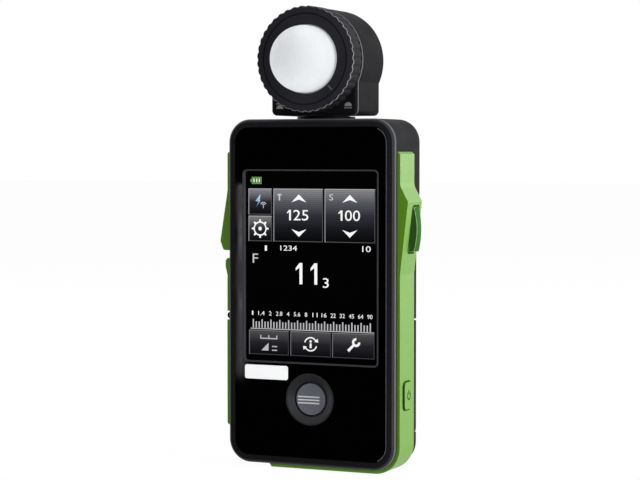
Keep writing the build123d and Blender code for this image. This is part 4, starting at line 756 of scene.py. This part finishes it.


# painted shade for the gap round a key on three sides, laid on whatever face the right trim has there
def paintedGapShade(name, middle, look):
    inner = roundedPath(middle.y, middle.z, look["width"], look["height"], look["corner"])
    outer = roundedPath(middle.y, middle.z, look["width"] + 2 * look["side"],
                        look["height"] + 2 * look["end"], look["corner"] + look["end"])
    gap = printedMarks(name, bandBetween(inner, outer, *look["part"]), look["lift"], -look["lift"],
                       ink["green"], "case", onRight)
    for vertex in gap.data.vertices:
        start = (toTheRight, vertex.co.y, vertex.co.z)
        vertex.co.x += trim.ray_cast(start, (-1, 0, 0))[1].x


paintedGapShade("power_button_gap_painted_shade", power, fronts["powerGap"])
paintedGapShade("measuring_button_gap_painted_shade", boxOf("measuring_button")[2], fronts["wellGap"])

look = fronts["doorArrow"]
doorBack = boxOf("battery_door")[1].y
foot, tip = look["z"], look["z"] - look["tall"]
shapes = [[(x, foot), (0, tip), (0, tip + look["thick"]), (x, foot + look["thick"])]
          for x in (-look["half"], look["half"])]
printedMarks("battery_door_arrow", shapes, doorBack - look["lift"], doorBack + look["lift"],
             ink["grey"], "battery lid")


# screws, thread, springs and cells, each in the place of its plain CAD form; sizes in mm
hardware = dict(
    # height of the head, radius of the shank, slot, body
    screwSets={"case_screws": (1.2, 0.95, "screw_black", "case"),
               "head_screws": (0.7, 0.7, "screw_black", "head"),
               "board_screws": (0.7, 0.7, "screw_steel", "case")},
    # the recess reaches out by a share of the head's radius; the tip is a share of the shank's
    screw=dict(cross=0.26, reach=0.62, deep=0.45, tip=0.6, rim=0.06, skirt=0.1, crown=0.16,
               dome=((0.9, 1.0), (0.6, 0.35), (0.3, 0.05)),      # share of radius, of crown
               pitch=0.7, thread=0.1, start=0.35, plain=0.9,
               flanks=(0.3, 0.45, 0.8)),                         # shares of the pitch
    bush=dict(pitch=1.27, depth=0.55, wall=1.725, floor=0.6, chamfer=0.45, edge=0.2, rows=26),
    contact=dict(sheet=0.3, rim=0.08, corner=0.98, wire=0.17, turns=2.6, stepsPerTurn=20,
                 outer=2.7, inner=1.1, springFrom=0.25, springRise=0.5,
                 dimple=((1.0, 0.0), (0.8, 0.6)), dimpleR=1.6, crownR=0.64, crown=0.02),
    sleeve=dict(film=0.03, ends=0.9, plusEnd=0.45, band=6.5, nub=1.0),
    signs=dict(edge=0.5, half=0.32, thin=0.09, lift=0.02),
)


# takes the blocks, each (lowest corner, highest corner) in mm, out of a closed form
def cutAway(work, blocks):
    tool = bmesh.new()
    for low, high in blocks:
        for vertex in bmesh.ops.create_cube(tool, size=1.0)["verts"]:
            vertex.co = Vector([(low[i] + high[i]) / 2 + vertex.co[i] * (high[i] - low[i])
                                for i in range(3)]) * mm
    holders = []
    for part in (work, tool):
        bmesh.ops.recalc_face_normals(part, faces=part.faces)
        mesh = bpy.data.meshes.new("form")
        part.to_mesh(mesh)
        part.free()
        holders.append(linked("form", mesh))
    cut = holders[0].modifiers.new("cut", "BOOLEAN")
    cut.operation, cut.solver, cut.object = "DIFFERENCE", "EXACT", holders[1]
    cut.use_self = True                        # the blocks of a cross lap each other
    mesh = shownMesh(holders[0])
    for holder in holders:
        bpy.data.objects.remove(holder)
    return mesh


# a screw with a domed head, a rolled thread and a cross recess; the head faces +Y
def crossScrew(low, high, headT, shankR, look):
    x, z = (low.x + high.x) / 2, (low.z + high.z) / 2
    headR, top, end = (high.x - low.x) / 2, high.y, low.y
    seat, crown = top - headT, look["crown"]
    root, pitch = shankR - look["thread"], look["pitch"]
    profile = [(0, end), (shankR * look["tip"], end)]
    rise, fall, foot = (share * pitch for share in look["flanks"])
    for i in range(int((seat - end - look["plain"]) / pitch)):
        at = end + look["start"] + i * pitch
        profile += [(root, at), (shankR, at + rise), (shankR, at + fall), (root, at + foot)]
    profile += [(root, seat - look["skirt"]), (shankR, seat), (headR - look["rim"], seat),
                (headR, seat + look["rim"]), (headR, top - crown - look["skirt"])]
    profile += [(headR * out, top - crown * down) for out, down in look["dome"]] + [(0, top)]
    work = bmesh.new()
    turned(work, profile, (x, 0, z), "y", 36)
    half, reach, floor = look["cross"], headR * look["reach"], top - look["deep"]
    above = top + 1
    return cutAway(work, [((x - half, floor, z - reach), (x + half, above, z + reach)),
                          ((x - reach, floor, z - half), (x + reach, above, z + half))])


print("screws, thread, springs and cells")
for name, (headT, shankR, slot, body) in hardware["screwSets"].items():
    whole = bmesh.new()
    for low, high in islands(name):
        whole.from_mesh(crossScrew(low, high, headT, shankR, hardware["screw"]))
    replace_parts(pieceFrom(whole, name + "_cross_headed", made[slot], body), name)

bush = hardware["bush"]
low, high = islands("tripod_socket")[0]
outR = (high.x - low.x) / 2
boreR = outR - bush["wall"]
mouth, floor = high.y - bush["chamfer"], low.y + bush["floor"]
profile = [(0, low.y), (outR - bush["edge"], low.y), (outR, low.y + bush["edge"]),
           (outR, high.y - bush["edge"]), (outR - bush["edge"], high.y),
           (boreR + bush["chamfer"], high.y)]
profile += [(boreR, mouth + (floor - mouth) * i / bush["rows"]) for i in range(bush["rows"] + 1)]
profile += [(0, floor)]


# the bore's wall leans in and out once per pitch and turn
def threadAt(r, s, a):
    wave = 0.5 - 0.5 * cos(2 * pi * s / bush["pitch"] - a)
    return -bush["depth"] * wave if abs(r - boreR) < 1e-6 else 0


work = bmesh.new()
turned(work, profile, ((low.x + high.x) / 2, 0, (low.z + high.z) / 2), "y", 44, threadAt)
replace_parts(pieceFrom(work, "tripod_socket_threaded", made["bush_brass"], "case"),
            "tripod_socket")

# each contact is a sheet with a spring for the flat end of a cell or a dimple for its nub
look = hardware["contact"]
work = bmesh.new()
cells = {name: islands(name)[0] for name in ("battery_cell_1", "battery_cell_2")}
for low, high in islands("battery_contacts"):
    z, y, side = (low.z + high.z) / 2, (low.y + high.y) / 2, 1 if low.x > 0 else -1
    wall, tip = (high.x, low.x) if side > 0 else (low.x, high.x)
    sheet, half = wall - side * look["sheet"], (high.z - low.z) / 2
    near, far = sorted((wall, sheet))
    flat = half * look["corner"]
    turned(work, [(0, near), (flat, near), (half, near + look["rim"]), (half, far - look["rim"]),
                  (flat, far), (0, far)], (0, y, z), "x", 4)
    nearest = min(cells.values(), key=lambda ends: abs((ends[0].z + ends[1].z) / 2 - z))
    rise = tip - sheet
    if (nearest[1].x + nearest[0].x) * side > 0:         # the nub of this cell faces this contact
        dimple = [(look["dimpleR"] * out, sheet + rise * up) for out, up in look["dimple"]]
        dimple += [(look["crownR"], tip + side * look["crown"]), (0, tip)]
        turned(work, [(0, sheet)] + dimple, (0, y, z), "x", 24)
    else:
        path = []
        count = round(look["turns"] * look["stepsPerTurn"])
        for i in range(count + 1):
            f = i / count
            r = look["outer"] + (look["inner"] - look["outer"]) * f
            a = 2 * pi * look["turns"] * f
            x = sheet + rise * (look["springFrom"] + look["springRise"] * f)
            path.append((x, y + r * cos(a), z + r * sin(a)))
        bentWire(work, path, look["wire"])
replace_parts(pieceFrom(work, "battery_contacts_formed", made["spring_nickel"], "case"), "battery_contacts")

# the sleeve of each cell ends in a band of another colour towards its nub
look = hardware["sleeve"]
nubSide = {name: 1 if high.x + low.x > 0 else -1 for name, (low, high) in cells.items()}
for name, (low, high) in cells.items():
    y, z, r = (low.y + high.y) / 2, (low.z + high.z) / 2, (high.z - low.z) / 2
    nub = nubSide[name]
    flat, plus = (low.x, high.x - look["nub"]) if nub > 0 else (high.x, low.x + look["nub"])
    joint = plus - nub * look["band"]
    spans = (("sleeve", flat + nub * look["ends"], joint),
             ("band", joint, plus - nub * look["plusEnd"]))
    for part, start, stop in spans:
        near, far = sorted((start, stop))
        skin = r + look["film"]
        work = bmesh.new()
        turned(work, [(r, near), (skin, near), (skin, far), (r, far), (r, near)], (0, y, z),
               "x", 48)
        bmesh.ops.remove_doubles(work, verts=work.verts, dist=1e-8)
        pieceFrom(work, name + "_" + part, ink[part], "case")

look, shapes = hardware["signs"], []
tray = boxOf("battery_tray")[1]
half, thin = look["half"], look["thin"]
for name, (low, high) in cells.items():
    z, plus = (low.z + high.z) / 2, nubSide[name] * (tray.x - look["edge"])
    shapes += [bar(x - half, x + half, z - thin, z + thin) for x in (plus, -plus)]
    shapes += [bar(plus - thin, plus + thin, z + start, z + start + half - thin)
               for start in (-half, thin)]               # the upright of the plus sign
printedMarks("battery_polarity_marks", shapes, tray.y + look["lift"], tray.y - look["lift"],
             ink["white"], "case")


# stage, lights and camera, in metres
studio = dict(
    roomLight=0.2, floorWhite=0.94, floorStrength=1.03,
    paperCells=900.0, paperTone=(0.86, 0.9),   # noise cells to the metre, and their two greys
    floorHalf=6.0, floorDrop=0.0002,
    # black cards before the screen, seen only by its gloss: one upright, one flat before the foot
    flag=[(-1.55, -0.9, 0), (0.3, -1.5, 0), (0.3, -1.5, 1.3), (-1.55, -0.9, 1.3)],
    mat=[(-1.6, -0.9, 0.0002), (0.3, -1.5, 0.0002), (0.024, -0.0052, 0.0002),
         (-0.0268, -0.0052, 0.0002)],
    # a narrow strip light whose reflection draws the soft line beside the window
    strip=[(-0.10354, -0.16441, 0.0077), (-0.10217, -0.16441, 0.0077),
           (-0.10217, -0.16441, 0.0836), (-0.10354, -0.16441, 0.0836)],
    stripStrength=5.5,
    middle=(0, 0, 0.07),
)
lamps = {
    "keyRight": dict(place=(1.2, -0.2, 0.25), size=(0.8, 0.6), power=17, gloss=True),
    "fillLeft": dict(place=(-0.75, -1.0, 0.75), size=(0.7, 0.7), power=4.1, gloss=False),
    "topSoft": dict(place=(0.1, 0.0, 1.3), size=(0.8, 0.8), power=1.7, gloss=False),
    "backRight": dict(place=(0.75, 0.95, 0.35), size=(0.9, 0.9), power=4.6, gloss=True),
    "rimLeft": dict(place=(-0.9, 0.35, 0.2), size=(0.4, 0.5), power=1.6, gloss=True),
}
# narrow spots that light the dome and little else; width in degrees
snoot = dict(width=9.5, blend=0.5, size=0.004)
domeSnoots = {
    "domeSnootLow": dict(snoot, place=(-0.01, -0.06, 0.012), power=0.36),
    "domeSnootHigh": dict(snoot, place=(0.01, -0.06, 0.236), power=0.26),
}
view = dict(lens=109.7, sensor=36, clip=0.01, place=(0.24251, -0.53886, 0.09516), dip=2.47,
            turn=24.08)


def lampAt(name, data, look, target):
    data.energy = look["power"]
    holder = linked(name, data)
    holder.location = look["place"]
    aim = Vector(target) - Vector(look["place"])
    holder.rotation_euler = aim.to_track_quat("-Z", "Y").to_euler()
    return holder


def stageSheet(name, corners, material, glossOnly=False):
    mesh = bpy.data.meshes.new(name)
    mesh.from_pydata(corners, [], [tuple(range(len(corners)))])
    mesh.materials.append(material)
    sheet = linked(name, mesh)
    if glossOnly:
        sheet.visible_camera = sheet.visible_diffuse = sheet.visible_shadow = False
        sheet.visible_transmission = False


# mixes plain white in for the camera, reflections and glass, so the ground reads as white paper
def whiteForRays(material, shade, amount, strength, kind):
    add = partial(addNode, material)
    rays = add("LightPath")
    seen = add("Math", {0: (rays, "Is Camera Ray"), 1: (rays, "Is Glossy Ray")},
               operation="MAXIMUM")
    every = add("Math", {0: (seen, "Value"), 1: (rays, "Is Transmission Ray")},
                operation="MAXIMUM")
    share = add("Math", {0: (every, "Value"), 1: amount}, operation="MULTIPLY")
    white = add(kind, {"Color": hexColour("#ffffff"), "Strength": strength})
    return add("MixShader", {"Fac": (share, "Value"), 1: shade, 2: (white, kind)})


print("stage and lights")
paper = emptyMaterial("paperFloor")
fibre = addNode(paper, "TexNoise", {"Scale": studio["paperCells"], "Detail": 3.0})
darkest, palest = studio["paperTone"]
tone = addNode(paper, "MapRange", {"To Min": darkest, "To Max": palest, "Value": (fibre, "Fac")})
shade = addNode(paper, "BsdfDiffuse", {"Color": (tone, "Result")})
withSurface(paper, whiteForRays(paper, (shade, "BSDF"), studio["floorWhite"],
                                studio["floorStrength"], "Emission"), "Shader")
h, drop = studio["floorHalf"], -studio["floorDrop"]
stageSheet("floor", [(x, y, drop) for x, y in bar(-h, h, -h, h)], paper)

velvet = emptyMaterial("blackFlag")
withSurface(velvet, addNode(velvet, "BsdfDiffuse", {"Color": hexColour("#000000")}))
for name in ("flag", "mat"):
    stageSheet("black_" + name, studio[name], velvet, True)
stripFace = emptyMaterial("stripLight")
glow = addNode(stripFace, "Emission", {"Color": hexColour("#f4f2ff"),
                                       "Strength": studio["stripStrength"]})
withSurface(stripFace, glow, "Emission")
stageSheet("strip_light", studio["strip"], stripFace, True)

scene = bpy.context.scene
world = bpy.data.worlds.new("studio")
scene.world = world
world.use_nodes = True
world.node_tree.nodes.clear()
shade = addNode(world, "Background", {"Color": hexColour("#ffffff"),
                                      "Strength": studio["roomLight"]})
mix = whiteForRays(world, (shade, "Background"), 1.0, 1.0, "Background")
addNode(world, "OutputWorld", {"Surface": (mix, "Shader")})

for name, look in lamps.items():
    area = bpy.data.lights.new(name, "AREA")
    area.shape = "RECTANGLE"
    area.size, area.size_y = look["size"]
    lampAt(name, area, look, studio["middle"]).visible_glossy = look["gloss"]
domeLow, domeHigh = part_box("diffuser_dome")
for name, look in domeSnoots.items():
    spot = bpy.data.lights.new(name, "SPOT")
    spot.spot_size = radians(look["width"])
    spot.spot_blend = look["blend"]
    spot.shadow_soft_size = look["size"]
    holder = lampAt(name, spot, look, (domeLow + domeHigh) / 2)
    holder.visible_glossy = holder.visible_camera = False

scene.view_settings.view_transform = "Standard"
cameraData = bpy.data.cameras.new("camera")
cameraData.lens = view["lens"]
cameraData.sensor_width = view["sensor"]
cameraData.clip_start = view["clip"]
camera = linked("camera", cameraData)
camera.location = view["place"]
camera.rotation_euler = (radians(90 - view["dip"]), 0, radians(view["turn"]))
scene.camera = camera
